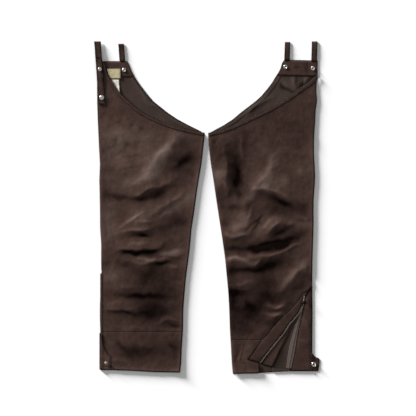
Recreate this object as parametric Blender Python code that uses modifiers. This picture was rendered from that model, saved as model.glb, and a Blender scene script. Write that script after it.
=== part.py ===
"""Hunting chaps: two separate legs of oiled cotton, laid flat side by side with their fronts up.

Millimetres in the tables, metres in the objects. X runs across the legs, Y up to the waist, and Z up from
the surface that the chaps lie on. Each leg is a back panel flat on the surface, with a front panel on it.
The left leg's zip is closed under its snapped tab, and the right leg's zip is open at the hem.
"""

from collections import namedtuple
from math import cos, pi, radians, sin

import bmesh
import bpy
from mathutils import Matrix, Vector

for old in list(bpy.data.objects):
    bpy.data.objects.remove(old, do_unlink=True)

MM = 0.001
CLOTH = 1.2            # thickness of the oiled cotton
TAPE = 1.0             # thickness of labels and zip tape
GAP = 0.3              # clearance between pieces that lie on each other
SEAM = 0.5             # clearance between pieces that meet edge to edge
LAYER = CLOTH + GAP    # one layer of cloth with its clearance
HEM_SEAM_GAP = 0.6     # clearance across the seam above the hem band

parts = bpy.data.collections.new("Hunting_Chaps")
bpy.context.scene.collection.children.link(parts)


# ---------------------------------------------------------------- materials

def make_material(name, colour, roughness, metallic=0.0):
    material = bpy.data.materials.new(name)
    material.use_nodes = True
    shader = material.node_tree.nodes["Principled BSDF"]
    shader.inputs["Base Color"].default_value = (*colour, 1.0)
    shader.inputs["Roughness"].default_value = roughness
    shader.inputs["Metallic"].default_value = metallic
    material.diffuse_color = (*colour, 1.0)
    return material


CLOTH_OUT = make_material("Oiled Cotton", (0.045, 0.027, 0.020), 0.5)
CLOTH_IN = make_material("Oiled Cotton Inside", (0.038, 0.026, 0.022), 0.7)
LABEL = make_material("Woven Label", (0.40, 0.34, 0.18), 0.8)
CARE_TAG = make_material("Care Tag", (0.80, 0.76, 0.66), 0.7)
NICKEL = make_material("Nickel", (0.72, 0.70, 0.66), 0.3, 1.0)
DULL_METAL = make_material("Dull Nickel", (0.30, 0.28, 0.26), 0.45, 1.0)
ZIP_METAL = make_material("Zip Metal", (0.16, 0.13, 0.11), 0.4, 0.9)


# ---------------------------------------------------------------- outlines of the two legs

Station = namedtuple("Station", "y outer inner")
Point = namedtuple("Point", "x y")
Fold = namedtuple("Fold", "x1 y1 x2 y2 half_width height")

LEFT_STATIONS = [
    Station(545, -361, -8), Station(450, -361, -8), Station(340, -360, -8), Station(240, -356, -8),
    Station(143, -351, -19), Station(90, -353, -28), Station(0, -351, -41), Station(-110, -347, -55),
    Station(-220, -347, -69), Station(-350, -352, -79), Station(-410, -350, -80),
    Station(-485, -350, -84), Station(-542, -350, -90),
]
RIGHT_STATIONS = [
    Station(545, 364, 4), Station(450, 363, 4), Station(340, 359, 4), Station(240, 351, 4),
    Station(143, 352, 13), Station(90, 353, 22), Station(0, 349, 34), Station(-110, 348, 51),
    Station(-220, 345, 65), Station(-350, 346, 74), Station(-434, 345, 77),
    Station(-485, 345, 81), Station(-545, 345, 85),
]

# the curved top of each back panel, from the waist down to the top of the inside leg
LEFT_BACK_CURVE = [
    Point(-260, 481), Point(-256, 468), Point(-249, 448), Point(-239, 428), Point(-212, 389),
    Point(-181, 350), Point(-131, 310), Point(-101, 290), Point(-65, 271), Point(-21, 251), Point(-8, 240),
]
RIGHT_BACK_CURVE = [
    Point(254, 485), Point(247, 474), Point(239, 448), Point(227, 428), Point(202, 389),
    Point(164, 350), Point(113, 310), Point(89, 290), Point(59, 271), Point(18, 251), Point(4, 240),
]

# the top edge of each front panel, from the hip to the inside leg; each point heads a column of the panel
LEFT_FRONT_TOP = [
    Point(-361, 480), Point(-337, 480), Point(-331, 447), Point(-316, 419), Point(-292, 381),
    Point(-251, 343), Point(-220, 317), Point(-187, 299), Point(-154, 284), Point(-122, 272),
    Point(-89, 262), Point(-50, 254), Point(-8, 244),
]
RIGHT_FRONT_TOP = [
    Point(363, 434), Point(338, 413), Point(305, 390), Point(272, 366), Point(239, 345), Point(206, 326),
    Point(174, 310), Point(141, 295), Point(108, 279), Point(75, 264), Point(42, 253), Point(4, 244),
]

# the largest folds of each front panel, as ridges (+) and troughs (-)
LEFT_FOLDS = [
    Fold(-95, 215, -187, 123, 34, 5.0),
    Fold(-307, 58, -129, 60, 30, -2.5),
    Fold(-287, -78, -104, 30, 26, 3.5),
    Fold(-266, -152, -151, -142, 20, -3.0),
    Fold(-253, -168, -148, -162, 20, 5.0),
    Fold(-154, -168, -89, -170, 16, -2.0),
    Fold(-330, -323, -203, -323, 22, 3.5),
    Fold(-332, -350, -248, -350, 18, -2.0),
    Fold(-150, -356, -92, -356, 18, 2.5),
]
RIGHT_FOLDS = [
    Fold(66, 188, 80, 40, 24, -3.0),
    Fold(40, 150, 50, 90, 20, 3.0),
    Fold(216, 140, 147, 40, 28, 3.0),
    Fold(150, 38, 300, 5, 24, -2.5),
    Fold(203, -24, 160, -80, 22, 4.5),
    Fold(134, -120, 260, -80, 30, -3.0),
    Fold(49, -83, 134, -56, 22, 4.5),
    Fold(146, -160, 316, -103, 18, 4.0),
    Fold(64, -165, 160, -172, 20, 5.5),
    Fold(236, -252, 310, -182, 30, 4.0),
    Fold(186, -343, 245, -331, 18, 3.0),
]


def interpolate(points, at, key, value):
    """Read one column of a table at a place between its rows; past its ends the end rows hold."""
    rows = sorted(points, key=lambda row: getattr(row, key))
    if at <= getattr(rows[0], key):
        return getattr(rows[0], value)
    for low, high in zip(rows, rows[1:]):
        if at <= getattr(high, key):
            share = (at - getattr(low, key)) / (getattr(high, key) - getattr(low, key))
            return getattr(low, value) + share * (getattr(high, value) - getattr(low, value))
    return getattr(rows[-1], value)


def smooth_step(low, high, at):
    share = min(1.0, max(0.0, (at - low) / (high - low)))
    return share * share * (3.0 - 2.0 * share)


def fold_height(folds, x, y):
    """Sum of the folds at a place: each a soft hump across its line, tapering past the line's ends."""
    height = 0.0
    for fold in folds:
        along = Vector((fold.x2 - fold.x1, fold.y2 - fold.y1))
        offset = Vector((x - fold.x1, y - fold.y1))
        share = max(0.0, min(1.0, offset.dot(along) / along.length_squared))
        distance = (offset - share * along).length / fold.half_width
        if distance < 1.0:
            height += fold.height * (0.5 + 0.5 * cos(pi * distance))
    return height


# ---------------------------------------------------------------- how pieces are made

def add_object(name, mesh, material):
    mesh.materials.append(material)
    piece = bpy.data.objects.new(name, mesh)
    parts.objects.link(piece)
    return piece


def flat_piece(name, outline, bottom, thickness, material, holes=()):
    """A piece of cloth cut to an outline and lying flat, from a filled curve with an extrusion."""
    curve = bpy.data.curves.new(name, "CURVE")
    curve.dimensions = "2D"
    curve.fill_mode = "BOTH"
    curve.extrude = thickness * MM / 2
    for loop in (outline, *holes):
        spline = curve.splines.new("POLY")
        spline.points.add(len(loop) - 1)
        for point, (x, y) in zip(spline.points, loop):
            point.co = (x * MM, y * MM, 0.0, 1.0)
        spline.use_cyclic_u = True
    curve.materials.append(material)
    piece = bpy.data.objects.new(name, curve)
    piece.location.z = (bottom + thickness / 2) * MM
    parts.objects.link(piece)
    return piece


def sheet_piece(name, grid, thickness, material):
    """A shell on a grid of points given row by row, thickened upwards from its underside."""
    mesh = bpy.data.meshes.new(name)
    shape = bmesh.new()
    rows = [[shape.verts.new((x * MM, y * MM, z * MM)) for x, y, z in row] for row in grid]
    for lower, upper in zip(rows, rows[1:]):
        for a, b, c, d in zip(lower, lower[1:], upper[1:], upper):
            shape.faces.new((a, b, c, d))
    shape.normal_update()
    if sum(face.normal.z for face in shape.faces) < 0:
        bmesh.ops.reverse_faces(shape, faces=shape.faces)
    shape.to_mesh(mesh)
    shape.free()
    piece = add_object(name, mesh, material)
    wall = piece.modifiers.new("Wall", "SOLIDIFY")
    wall.thickness = thickness * MM
    wall.offset = 1.0
    wall.use_even_offset = True
    mesh.shade_smooth()
    mesh.set_sharp_from_angle(angle=radians(40))
    return piece


def band(name, side_a, side_b, bottom, thickness, material):
    """A flat strip between two lines of points."""
    return flat_piece(name, list(side_a) + list(reversed(side_b)), bottom, thickness, material)


def moved_inwards(line, distance):
    """The line of points set over to its left by a distance, with mitred corners."""
    moved = []
    for index, point in enumerate(line):
        before = Vector(line[max(0, index - 1)])
        after = Vector(line[min(len(line) - 1, index + 1)])
        along = (after - before).normalized()
        moved.append((point[0] - along.y * distance, point[1] + along.x * distance))
    return moved


def turned_piece(name, x, y, base, profile, material, turns=20):
    """A round piece: a profile of radius and height, from its top down its outer side, on the Z axis."""
    mesh = bpy.data.meshes.new(name)
    mesh.from_pydata([(r * MM, 0.0, z * MM) for r, z in profile], [(i, i + 1) for i in range(len(profile) - 1)],
                     [])
    piece = add_object(name, mesh, material)
    piece.location = (x * MM, y * MM, base * MM)
    screw = piece.modifiers.new("Turn", "SCREW")
    screw.steps = turns
    screw.render_steps = turns
    screw.use_merge_vertices = True
    screw.merge_threshold = 0.00001
    return piece


def arc(radius, centre_r, centre_z, start, end, steps):
    return [(centre_r + radius * cos(radians(start + (end - start) * i / steps)),
             centre_z + radius * sin(radians(start + (end - start) * i / steps))) for i in range(steps + 1)]


def snap_cap(name, x, y, base, diameter, material):
    """A snap's domed cap, with a rolled rim."""
    radius = diameter / 2
    profile = [(0.0, 2.4), (radius * 0.45, 2.2), (radius * 0.78, 1.7), (radius * 0.95, 1.0), (radius, 0.4),
               (radius * 0.97, 0.0), (0.0, 0.0)]
    return turned_piece(name, x, y, base, profile, material)


def snap_ring(name, x, y, base, diameter, eye, material):
    """The inner side of a snap: a rolled ring round an open eye."""
    roll = (diameter - eye) / 4
    middle = (diameter + eye) / 4
    profile = [(middle - roll, 0.0), (middle - roll * 0.9, 0.9), (middle - roll * 0.4, 1.6),
               (middle + roll * 0.4, 1.6), (middle + roll * 0.9, 0.9), (middle + roll, 0.0),
               (middle - roll, 0.0)]
    return turned_piece(name, x, y, base, profile, material)


def belt_loop(name, foot_x, top_x, width, foot, top, under_run, over_run):
    """A strap folded over at its top, its two runs lying on each other.

    Each run is a list of (y, z) points along the middle of the cloth, from its lower end upwards.
    """
    bend = (over_run[-1][1] - under_run[-1][1]) / 2
    centre_z = (over_run[-1][1] + under_run[-1][1]) / 2
    fold = [(y, z) for y, z in arc(bend, top - bend - CLOTH / 2, centre_z, -90, 90, 6)]
    grid = []
    for y, z in under_run + fold + list(reversed(over_run)):
        x = foot_x + (y - foot) / (top - foot) * (top_x - foot_x)
        grid.append([(x - width / 2, y, z), (x + width / 2, y, z)])
    piece = sheet_piece(name, grid, CLOTH, CLOTH_OUT)
    piece.modifiers["Wall"].offset = 0.0
    return piece


# ---------------------------------------------------------------- back panels and their facings

def back_outline(stations, curve, outer_x, waist_y, hem):
    """Down the outer edge, along the hem, up the inside leg and over the curved top to the waist."""
    outer = [(s.outer, s.y) for s in stations if hem[0][1] < s.y < waist_y]
    inner = [(s.inner, s.y) for s in reversed(stations) if hem[-1][1] < s.y < curve[-1].y]
    return [(outer_x, waist_y)] + outer + hem + inner + [(p.x, p.y) for p in reversed(curve)]


LEFT_HEM = [(-350, -533), (-310, -533), (-231, -536), (-174, -540), (-90, -541)]
RIGHT_HEM = [(345, -537), (265, -537), (209, -540), (157, -544), (85, -545)]
FACING_WIDTH = 13      # width of the facing along each back panel's curved edge

flat_piece("left_back", back_outline(LEFT_STATIONS, LEFT_BACK_CURVE, -360, 481, LEFT_HEM), 0, CLOTH,
           CLOTH_IN)
flat_piece("right_back", back_outline(RIGHT_STATIONS, RIGHT_BACK_CURVE, 364, 482, RIGHT_HEM), 0, CLOTH,
           CLOTH_IN)
flat_piece("left_waist_facing", [(-359, 480), (-261, 480), (-257, 468), (-250, 448), (-243, 427),
                                 (-359, 427)], LAYER, CLOTH, CLOTH_OUT)
flat_piece("right_waist_facing", [(363, 481), (362, 430), (228, 434), (239, 455), (247, 474), (254, 484)],
           LAYER, CLOTH, CLOTH_OUT)

left_edge = [(p.x, p.y) for p in LEFT_BACK_CURVE[3:-1]]
left_edge[0] = (-237.5, 426)
band("left_back_edge_facing", left_edge, moved_inwards(left_edge, -FACING_WIDTH), LAYER, CLOTH, CLOTH_IN)
right_edge = [(p.x, p.y) for p in RIGHT_BACK_CURVE[4:-1]]
right_edge.insert(0, (229, 431))
band("right_back_edge_facing", right_edge, moved_inwards(right_edge, FACING_WIDTH), LAYER, CLOTH, CLOTH_IN)


# ---------------------------------------------------------------- front panels, top bands and hem bands

# outer edge of each front panel below its zip's top: set in beside the closed zip on the left leg,
# and drawn back along the open zip's placket on the right leg
LEFT_ZIP_TOP = -206
LEFT_FRONT_OUTER = [Station(-208, -347, 0), Station(-216, -343.6, 0), Station(-545, -343.6, 0)]
RIGHT_ZIP_TOP = -254
PLACKET_INNER = [Point(345, -256), Point(334, -270), Point(315, -287), Point(295, -313), Point(279, -330),
                 Point(239, -366), Point(210, -402), Point(181, -434), Point(157, -467), Point(135, -500),
                 Point(171, -512), Point(171, -545)]
HEM_SEAM = {"left": -408, "right": -434}
HEM_FOOT = {"left": -538, "right": -542}
CROWN = 2.6            # how far the middle of a front panel stands above its edges
HEM_CROWN = 1.2
FOLD_FADE = 26         # a fold dies away within this distance of a side edge
TOP_BAND_WIDTH = 10
ROWS = 38


def front_outer(side, y):
    if side == "left":
        if y < LEFT_ZIP_TOP:
            return interpolate(LEFT_FRONT_OUTER, y, "y", "outer")
        return interpolate(LEFT_STATIONS, y, "y", "outer")
    if y < RIGHT_ZIP_TOP:
        return interpolate(PLACKET_INNER, y, "y", "x") - SEAM
    return interpolate(RIGHT_STATIONS, y, "y", "outer")


def front_underside(side, x, y):
    """Height of a front panel's underside: on the back panel at its edges, over the facings at its top."""
    stations, folds = (LEFT_STATIONS, LEFT_FOLDS) if side == "left" else (RIGHT_STATIONS, RIGHT_FOLDS)
    outer = front_outer(side, y)
    inner = interpolate(stations, y, "y", "inner")
    share = (x - outer) / (inner - outer)
    base = LAYER * (1.0 + smooth_step(190, 235, y))
    if side == "right":
        base += LAYER * (1.0 - smooth_step(-262, -215, y)) * (1.0 - smooth_step(10, 60, abs(x - outer)))
    crown = HEM_CROWN + (CROWN - HEM_CROWN) * smooth_step(-500, -250, y)
    edge = min(abs(x - outer), abs(x - inner))
    height = base + crown * sin(pi * min(1.0, max(0.0, share))) + \
        fold_height(folds, x, y) * smooth_step(0, FOLD_FADE, edge)
    return max(base, height)


def front_grid(side, top, rows):
    """Rows of points from the hem seam up to the top edge, with one column under each point of the top."""
    stations = LEFT_STATIONS if side == "left" else RIGHT_STATIONS
    first, last = top[0].x, top[-1].x
    low = HEM_SEAM[side] + HEM_SEAM_GAP / 2
    grid = []
    for row in range(rows + 1):
        line = []
        for head in top:
            share = (head.x - first) / (last - first)
            band_foot = head.y - TOP_BAND_WIDTH
            y = head.y if row == rows else low + (band_foot - low) * row / (rows - 1)
            outer = front_outer(side, y)
            x = outer + share * (interpolate(stations, y, "y", "inner") - outer)
            line.append((x, y, front_underside(side, x, y)))
        grid.append(line)
    return grid


def raised(rows, distance):
    return [[(x, y, z + distance) for x, y, z in row] for row in rows]


left_front = front_grid("left", LEFT_FRONT_TOP, ROWS)
right_front = front_grid("right", RIGHT_FRONT_TOP, ROWS)
sheet_piece("left_front", left_front, CLOTH, CLOTH_OUT)
sheet_piece("right_front", right_front, CLOTH, CLOTH_OUT)
sheet_piece("left_front_top_band", raised(left_front[-2:], LAYER + 0.1), TAPE, CLOTH_OUT)
sheet_piece("right_front_top_band", raised(right_front[-2:], LAYER + 0.1), TAPE, CLOTH_OUT)

HEM_ROWS = 6
HEM_COLUMNS = 10


def hem_band(name, side, hem):
    """The band sewn along the lower edge of a front panel."""
    stations = LEFT_STATIONS if side == "left" else RIGHT_STATIONS
    hem_points = [Point(x, y) for x, y in hem]
    top = HEM_SEAM[side] - HEM_SEAM_GAP / 2
    grid = []
    for row in range(HEM_ROWS + 1):
        line = []
        for column in range(HEM_COLUMNS + 1):
            y = top + (HEM_FOOT[side] - top) * row / HEM_ROWS
            outer = front_outer(side, y)
            x = outer + (interpolate(stations, y, "y", "inner") - outer) * column / HEM_COLUMNS
            if row == HEM_ROWS:
                y = interpolate(hem_points, x, "x", "y")
            line.append((x, y, front_underside(side, x, y)))
        grid.append(line)
    sheet_piece(name, grid, CLOTH, CLOTH_OUT)
    return grid


hem_band("left_hem_band", "left", LEFT_HEM)
right_hem_band = hem_band("right_hem_band", "right", RIGHT_HEM)


# ---------------------------------------------------------------- left leg: closed zip, flap edge and tab

ZIP_EDGE_TOP = -218
LEFT_FOOT = -532
flat_piece("left_zip", [(-347, ZIP_EDGE_TOP), (-344, ZIP_EDGE_TOP), (-344, LEFT_FOOT), (-347, LEFT_FOOT)],
           LAYER, TAPE, ZIP_METAL)
flat_piece("left_storm_flap", [(-350, ZIP_EDGE_TOP), (-347.4, ZIP_EDGE_TOP), (-347.4, LEFT_FOOT),
                               (-350, LEFT_FOOT)], LAYER, CLOTH, CLOTH_OUT)

TabRow = namedtuple("TabRow", "y inner")
LEFT_TAB = [TabRow(-412, -347), TabRow(-430, -342), TabRow(-447, -339), TabRow(-473, -331), TabRow(-483, -323),
            TabRow(-486, -315), TabRow(-496, -315), TabRow(-514, -314), TabRow(-531, -313)]
TAB_WRAP_X = -352      # the tab comes round the outer edge here
tab_grid = []
for row in LEFT_TAB:
    width = row.inner - TAB_WRAP_X
    tab_grid.append([(TAB_WRAP_X, row.y, 1.5), (TAB_WRAP_X + 0.2, row.y, 4.2)]
                    + [(TAB_WRAP_X + width * share, row.y, rise)
                       for share, rise in ((0.2, 5.6), (0.45, 5.6), (0.7, 5.2), (1.0, 5.0))])
sheet_piece("left_snap_tab", tab_grid, CLOTH, CLOTH_OUT)

slider_shape = bmesh.new()
bmesh.ops.create_cube(slider_shape, size=1.0)
bmesh.ops.scale(slider_shape, vec=Vector((5.5, 9.0, 1.6)) * MM, verts=slider_shape.verts)
bmesh.ops.translate(slider_shape, vec=Vector((-345.4, -515.0, 3.0 + 0.9)) * MM, verts=slider_shape.verts)
slider_mesh = bpy.data.meshes.new("left_zip_slider")
slider_shape.to_mesh(slider_mesh)
slider_shape.free()
add_object("left_zip_slider", slider_mesh, ZIP_METAL)


# ---------------------------------------------------------------- right leg: open zip, placket, guard, flap

PLACKET_OUTER = [(316.5, -289), (312, -300), (300, -341), (268, -378),
                 (249, -408), (235, -426), (203, -465), (171, -507)]
front_edge = [row[0] for row in reversed(right_front) if row[0][1] < -272]
band_edge = [row[0] for row in right_hem_band if row[0][1] > -498]
placket_inner = [(x + 2 * SEAM, y) for x, y, z in front_edge + band_edge]
flat_piece("right_placket", placket_inner + list(reversed(PLACKET_OUTER)), 2 * LAYER, CLOTH, CLOTH_OUT)

front_half = [(311, -324), (303, -343), (272, -379), (252, -411), (238, -428), (206, -467), (174, -508)]
ZIP_HALF_WIDTH = 4.5
band("right_zip_front_half", [(x + 0.8, y) for x, y in front_half],
     moved_inwards(front_half, ZIP_HALF_WIDTH), 2 * LAYER, TAPE, ZIP_METAL)
flap_side = [(317.0, -318), (307.5, -362), (297.5, -402), (287.5, -467), (274.5, -529)]
flap_half = [(313, -330), (300, -357), (290, -385), (275, -434), (265, -484), (259, -529)]
band("right_zip_flap_half", flap_side, flap_half, LAYER, TAPE, ZIP_METAL)
flat_piece("right_zip_guard", [(296, -353), (275, -385), (266, -414), (235, -473), (213, -522), (180, -519),
                               (176, -510), (207, -469), (239, -430), (254, -412), (274, -380)],
           LAYER, CLOTH, CLOTH_OUT)
flat_piece("right_hem_turn_up", [(214, -524), (257, -525), (257, -530), (273, -530), (273, -536),
                                 (214, -539)], LAYER, CLOTH, CLOTH_IN)
flat_piece("right_storm_flap", [(345, -259), (336, -272), (322, -287), (319.5, -297), (318, -318),
                                (308.5, -362), (298.5, -402), (288.5, -467), (275.5, -529), (274, -536),
                                (338, -536.5), (338, -476), (344.5, -470), (344.5, -356)],
           LAYER, CLOTH, CLOTH_OUT)
flat_piece("right_snap_tab", [(338.5, -477), (345, -471), (347, -480), (352, -487), (359, -492), (367, -494),
                              (370, -498), (367, -527), (365, -535), (359, -537), (338.5, -537)],
           LAYER, CLOTH, CLOTH_OUT)


# ---------------------------------------------------------------- right zip's slider and pull tab

PIVOT = Vector((317.0, -305.0, 7.0))       # middle of the pull tab's hinge, under the slider's bail
ZIP_LEAN = radians(-9.5)                    # the zip's line at its top, turned from the leg's length
BAIL_RADIUS = 2.1
BAIL_WIRE = 0.5                             # radius of the bail's wire
slider_place = Matrix.Translation(PIVOT * MM) @ Matrix.Rotation(ZIP_LEAN, 4, "Z")

body_shape = bmesh.new()
bmesh.ops.create_cube(body_shape, size=1.0)
bmesh.ops.scale(body_shape, vec=Vector((7.0, 10.0, 1.8)) * MM, verts=body_shape.verts)
bmesh.ops.translate(body_shape, vec=Vector((0.0, 0.0, -2.0 - 0.9)) * MM, verts=body_shape.verts)
body_mesh = bpy.data.meshes.new("right_zip_slider")
body_shape.to_mesh(body_mesh)
body_shape.free()
slider = add_object("right_zip_slider", body_mesh, ZIP_METAL)
slider.matrix_world = slider_place

bail_curve = bpy.data.curves.new("bail", "CURVE")
bail_curve.dimensions = "3D"
bail_curve.bevel_depth = BAIL_WIRE * MM
bail_curve.bevel_resolution = 1
bail_curve.use_fill_caps = True
bail_path = [(-BAIL_RADIUS, -2.6)] + arc(BAIL_RADIUS, 0.0, 0.0, 180, 0, 8) + [(BAIL_RADIUS, -2.6)]
bail_line = bail_curve.splines.new("POLY")
bail_line.points.add(len(bail_path) - 1)
for point, (along, up) in zip(bail_line.points, bail_path):
    point.co = (0.0, along * MM, up * MM, 1.0)
bail_object = bpy.data.objects.new("bail", bail_curve)
parts.objects.link(bail_object)
bpy.context.view_layer.update()
bail_mesh = bpy.data.meshes.new_from_object(bail_object.evaluated_get(bpy.context.evaluated_depsgraph_get()))
bpy.data.objects.remove(bail_object, do_unlink=True)
welded = bmesh.new()
welded.from_mesh(bail_mesh)
bmesh.ops.remove_doubles(welded, verts=welded.verts, dist=0.00001)
bmesh.ops.recalc_face_normals(welded, faces=welded.faces)
welded.to_mesh(bail_mesh)
welded.free()
bail = bpy.data.objects.new("bail", bail_mesh)
cutters = bpy.data.collections.new("Cutters")
bpy.context.scene.collection.children.link(cutters)
cutters.objects.link(bail)
bail.matrix_world = slider_place
bail.hide_render = True
bail.display_type = "WIRE"
join = slider.modifiers.new("Bail", "BOOLEAN")
join.operation = "UNION"
join.object = bail

PULL_LENGTH = 15.5
PULL_THICKNESS = 1.0
pull_outline = [(-2.3, -0.5), (2.3, -0.5), (2.4, 4.2), (1.9, PULL_LENGTH - 1.0), (1.2, PULL_LENGTH),
                (-1.2, PULL_LENGTH), (-1.9, PULL_LENGTH - 1.0), (-2.4, 4.2)]
pull_eye = [(-1.2, 0.5), (-1.2, 3.6), (1.2, 3.6), (1.2, 0.5)]
pull = flat_piece("right_zip_pull", pull_outline, 0, PULL_THICKNESS, DULL_METAL, holes=[pull_eye])
pull.matrix_world = slider_place


# ---------------------------------------------------------------- belt loops

belt_loop("left_outer_loop", -345, -359.5, 21, 338, 545, [(490, 2.2), (530, 2.2)],
          [(338, 5.6), (396, 6.0), (440, 6.7), (487, 6.7), (530, 4.6)])
belt_loop("left_inner_loop", -278, -282, 18, 482, 537, [(482, 0.6), (530, 0.6)], [(482, 2.4), (530, 2.4)])
belt_loop("right_inner_loop", 262, 264, 17, 486, 543, [(486, 0.6), (536, 0.6)], [(486, 2.4), (536, 2.4)])
belt_loop("right_outer_loop", 351, 353, 18, 483, 545, [(483, 0.6), (538, 0.6)], [(483, 2.4), (538, 2.4)])


# ---------------------------------------------------------------- snaps, label and care tag

FACING_TOP = LAYER + CLOTH + GAP
snap_cap("left_hip_snap", -352, 454, 7.7, 13, NICKEL)
snap_cap("left_strap_snap", -346, 361, 6.8, 16, NICKEL)
snap_ring("left_waist_snap", -273, 452, FACING_TOP, 13, 5, NICKEL)
snap_ring("right_inner_waist_snap", 257, 462, FACING_TOP, 13, 5, NICKEL)
snap_ring("right_outer_waist_snap", 347, 457, FACING_TOP, 13, 5, NICKEL)
snap_cap("left_tab_snap", -330.5, -510.5, 6.9, 13, DULL_METAL)
snap_ring("right_tab_snap", 350, -514.5, FACING_TOP, 15, 6, NICKEL)

flat_piece("left_woven_label", [(-328, 455), (-284, 455), (-284, 424), (-316, 424), (-328, 446)], FACING_TOP,
           TAPE, LABEL)
flat_piece("left_care_tag", [(-314, 422), (-289, 422), (-284, 377), (-289, 373), (-308, 400)], LAYER, TAPE,
           CARE_TAG)
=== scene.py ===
"""Hunting chaps: a pair of loose legs in dark oiled cotton, laid flat with their fronts up.

Tables are in millimetres and meshes in metres. X runs across the legs, Y up to the waist, Z off the surface.
"""

from collections import namedtuple
from math import cos, pi, radians, sin

import bmesh
import bpy
import numpy as np
from mathutils import Matrix, Vector, noise


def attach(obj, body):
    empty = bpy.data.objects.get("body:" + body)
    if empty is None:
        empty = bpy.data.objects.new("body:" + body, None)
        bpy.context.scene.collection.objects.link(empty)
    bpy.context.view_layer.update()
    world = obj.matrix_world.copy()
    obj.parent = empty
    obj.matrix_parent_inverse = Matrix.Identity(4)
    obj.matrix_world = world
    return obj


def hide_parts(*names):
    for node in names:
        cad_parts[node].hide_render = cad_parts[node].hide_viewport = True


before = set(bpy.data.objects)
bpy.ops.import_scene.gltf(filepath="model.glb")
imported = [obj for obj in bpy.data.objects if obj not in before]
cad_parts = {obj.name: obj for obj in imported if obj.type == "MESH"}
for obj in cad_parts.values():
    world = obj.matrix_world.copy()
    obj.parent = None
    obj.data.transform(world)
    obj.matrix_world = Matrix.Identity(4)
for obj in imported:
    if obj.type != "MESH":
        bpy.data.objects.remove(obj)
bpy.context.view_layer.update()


# ================================================== back panels
# Each leg's back panel lies flat on the surface and rises to the waist at the hip, where its inside shows.
# It is one layer of heavy cotton, oiled on both faces, with a curved top. Its sides are sewn to the front.

MM = 0.001
CLOTH = 1.1            # thickness of one layer of the cotton
LAYER = 1.45           # height from one layer's middle to the next layer's middle

Crease = namedtuple("Crease", "path height lit shade")

# each leg's side edges as rows of (y, x)
OUTER_EDGE = {
    "left": [(545, -361), (450, -361), (340, -360), (281, -358), (241, -356), (195, -354), (143, -351),
             (90, -353), (0, -351), (-67, -350.5), (-120, -347), (-224, -347), (-277, -350), (-350, -352),
             (-408, -350.5), (-545, -350)],
    "right": [(545, 364), (450, 362), (420, 360), (379, 358), (353, 360), (320, 356), (281, 354), (241, 351),
              (189, 350), (97, 353.5), (25, 349), (-67, 348.5), (-146, 346), (-224, 344.5), (-350, 346),
              (-434, 345), (-545, 345)],
}
INNER_EDGE = {
    "left": [(600, -8), (241, -8), (195, -13), (143, -19), (90, -28), (38, -36), (-15, -43), (-67, -51),
             (-120, -56), (-172, -62), (-224, -69), (-277, -74), (-330, -78), (-408, -80), (-460, -83.5),
             (-513, -86), (-545, -90)],
    "right": [(600, 4), (241, 4), (195, 7), (143, 13), (90, 21.5), (38, 29), (-15, 37), (-67, 45),
              (-120, 53), (-172, 60), (-224, 65), (-277, 70), (-330, 73), (-408, 76), (-460, 79),
              (-513, 82), (-545, 85)],
}

# the top of each back panel, from the outer end of its waist down its curve, and its hem, as rows of (x, y)
BACK_TOP = {
    "left": [(-361, 480), (-262, 480.5), (-256, 467), (-249, 448), (-239, 428), (-226, 408), (-212, 389),
             (-197, 369), (-181, 350), (-156, 330), (-131, 310), (-101, 290), (-65, 271), (-21, 250),
             (-8, 241)],
    "right": [(364, 482), (340, 483), (254, 485), (247, 474), (243, 458), (239, 448), (227, 428), (216, 408),
              (202, 389), (185, 369), (164, 350), (139, 330), (113, 310), (89, 290), (59, 271), (18, 250),
              (4, 241)],
}
HEM = {
    "left": [(-352, -533), (-310, -533), (-231, -536), (-174, -539.5), (-90, -541)],
    "right": [(346, -537), (265, -537), (209, -540), (157, -544), (85, -545)],
}

# ridges (+) pressed up from the surface; only those near the waist are open to view
BACK_CREASES = {
    "left": [
        Crease([(-215, 372), (-190, 340), (-150, 322)], 1.0, 9, 9),
        Crease([(-300, 120), (-200, 60), (-90, 90)], 1.2, 30, 16),
        Crease([(-330, -60), (-220, -90), (-80, -70)], 1.4, 22, 12),
        Crease([(-320, -190), (-240, -170), (-110, -205)], 1.3, 16, 20),
        Crease([(-300, -310), (-210, -330), (-110, -310)], 1.2, 24, 14),
    ],
    "right": [
        Crease([(236, 410), (264, 391), (297, 364)], 2.4, 12, 10),
        Crease([(122, 298), (165, 334), (223, 364)], 1.4, 12, 10),
        Crease([(284, 432), (288, 408), (294, 388)], 1.6, 9, 9),
        Crease([(330, 430), (326, 410), (318, 396)], 1.4, 8, 10),
        Crease([(90, 150), (190, 90), (320, 110)], 1.2, 26, 16),
        Crease([(70, -70), (200, -50), (330, -90)], 1.4, 18, 14),
        Crease([(90, -190), (220, -160), (320, -200)], 1.3, 14, 20),
        Crease([(100, -300), (180, -330), (270, -350)], 1.1, 22, 14),
    ],
}


def through(rows, at):
    """A smooth curve through rows of (place, value), read at an array of places."""
    places, values = np.array(sorted(rows), dtype=float).T
    slopes = np.gradient(values, places)
    at = np.clip(at, places[0], places[-1])
    index = np.clip(np.searchsorted(places, at) - 1, 0, len(places) - 2)
    step = places[index + 1] - places[index]
    t = (at - places[index]) / step
    low, high = values[index], values[index + 1]
    return (low + (high - low) * (3 - 2 * t) * t * t
            + step * t * (1 - t) * (slopes[index] * (1 - t) - slopes[index + 1] * t))


def outer_edge(side, y):
    return through(OUTER_EDGE[side], y)


def inner_edge(side, y):
    return through(INNER_EDGE[side], y)


def ease(low, high, at):
    """0 below low and 1 above high, with a soft change between them."""
    t = np.clip((np.asarray(at, dtype=float) - low) / (high - low), 0, 1)
    return t * t * (3 - 2 * t)


def cockle(x, y, size, seed):
    """Uneven swelling of the cloth, between about -1 and 1, in patches of that size."""
    flat = np.stack((np.ravel(x), np.ravel(y)), axis=1) / size
    return np.array([noise.noise(Vector((a, b, seed))) for a, b in flat]).reshape(np.shape(x))


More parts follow.
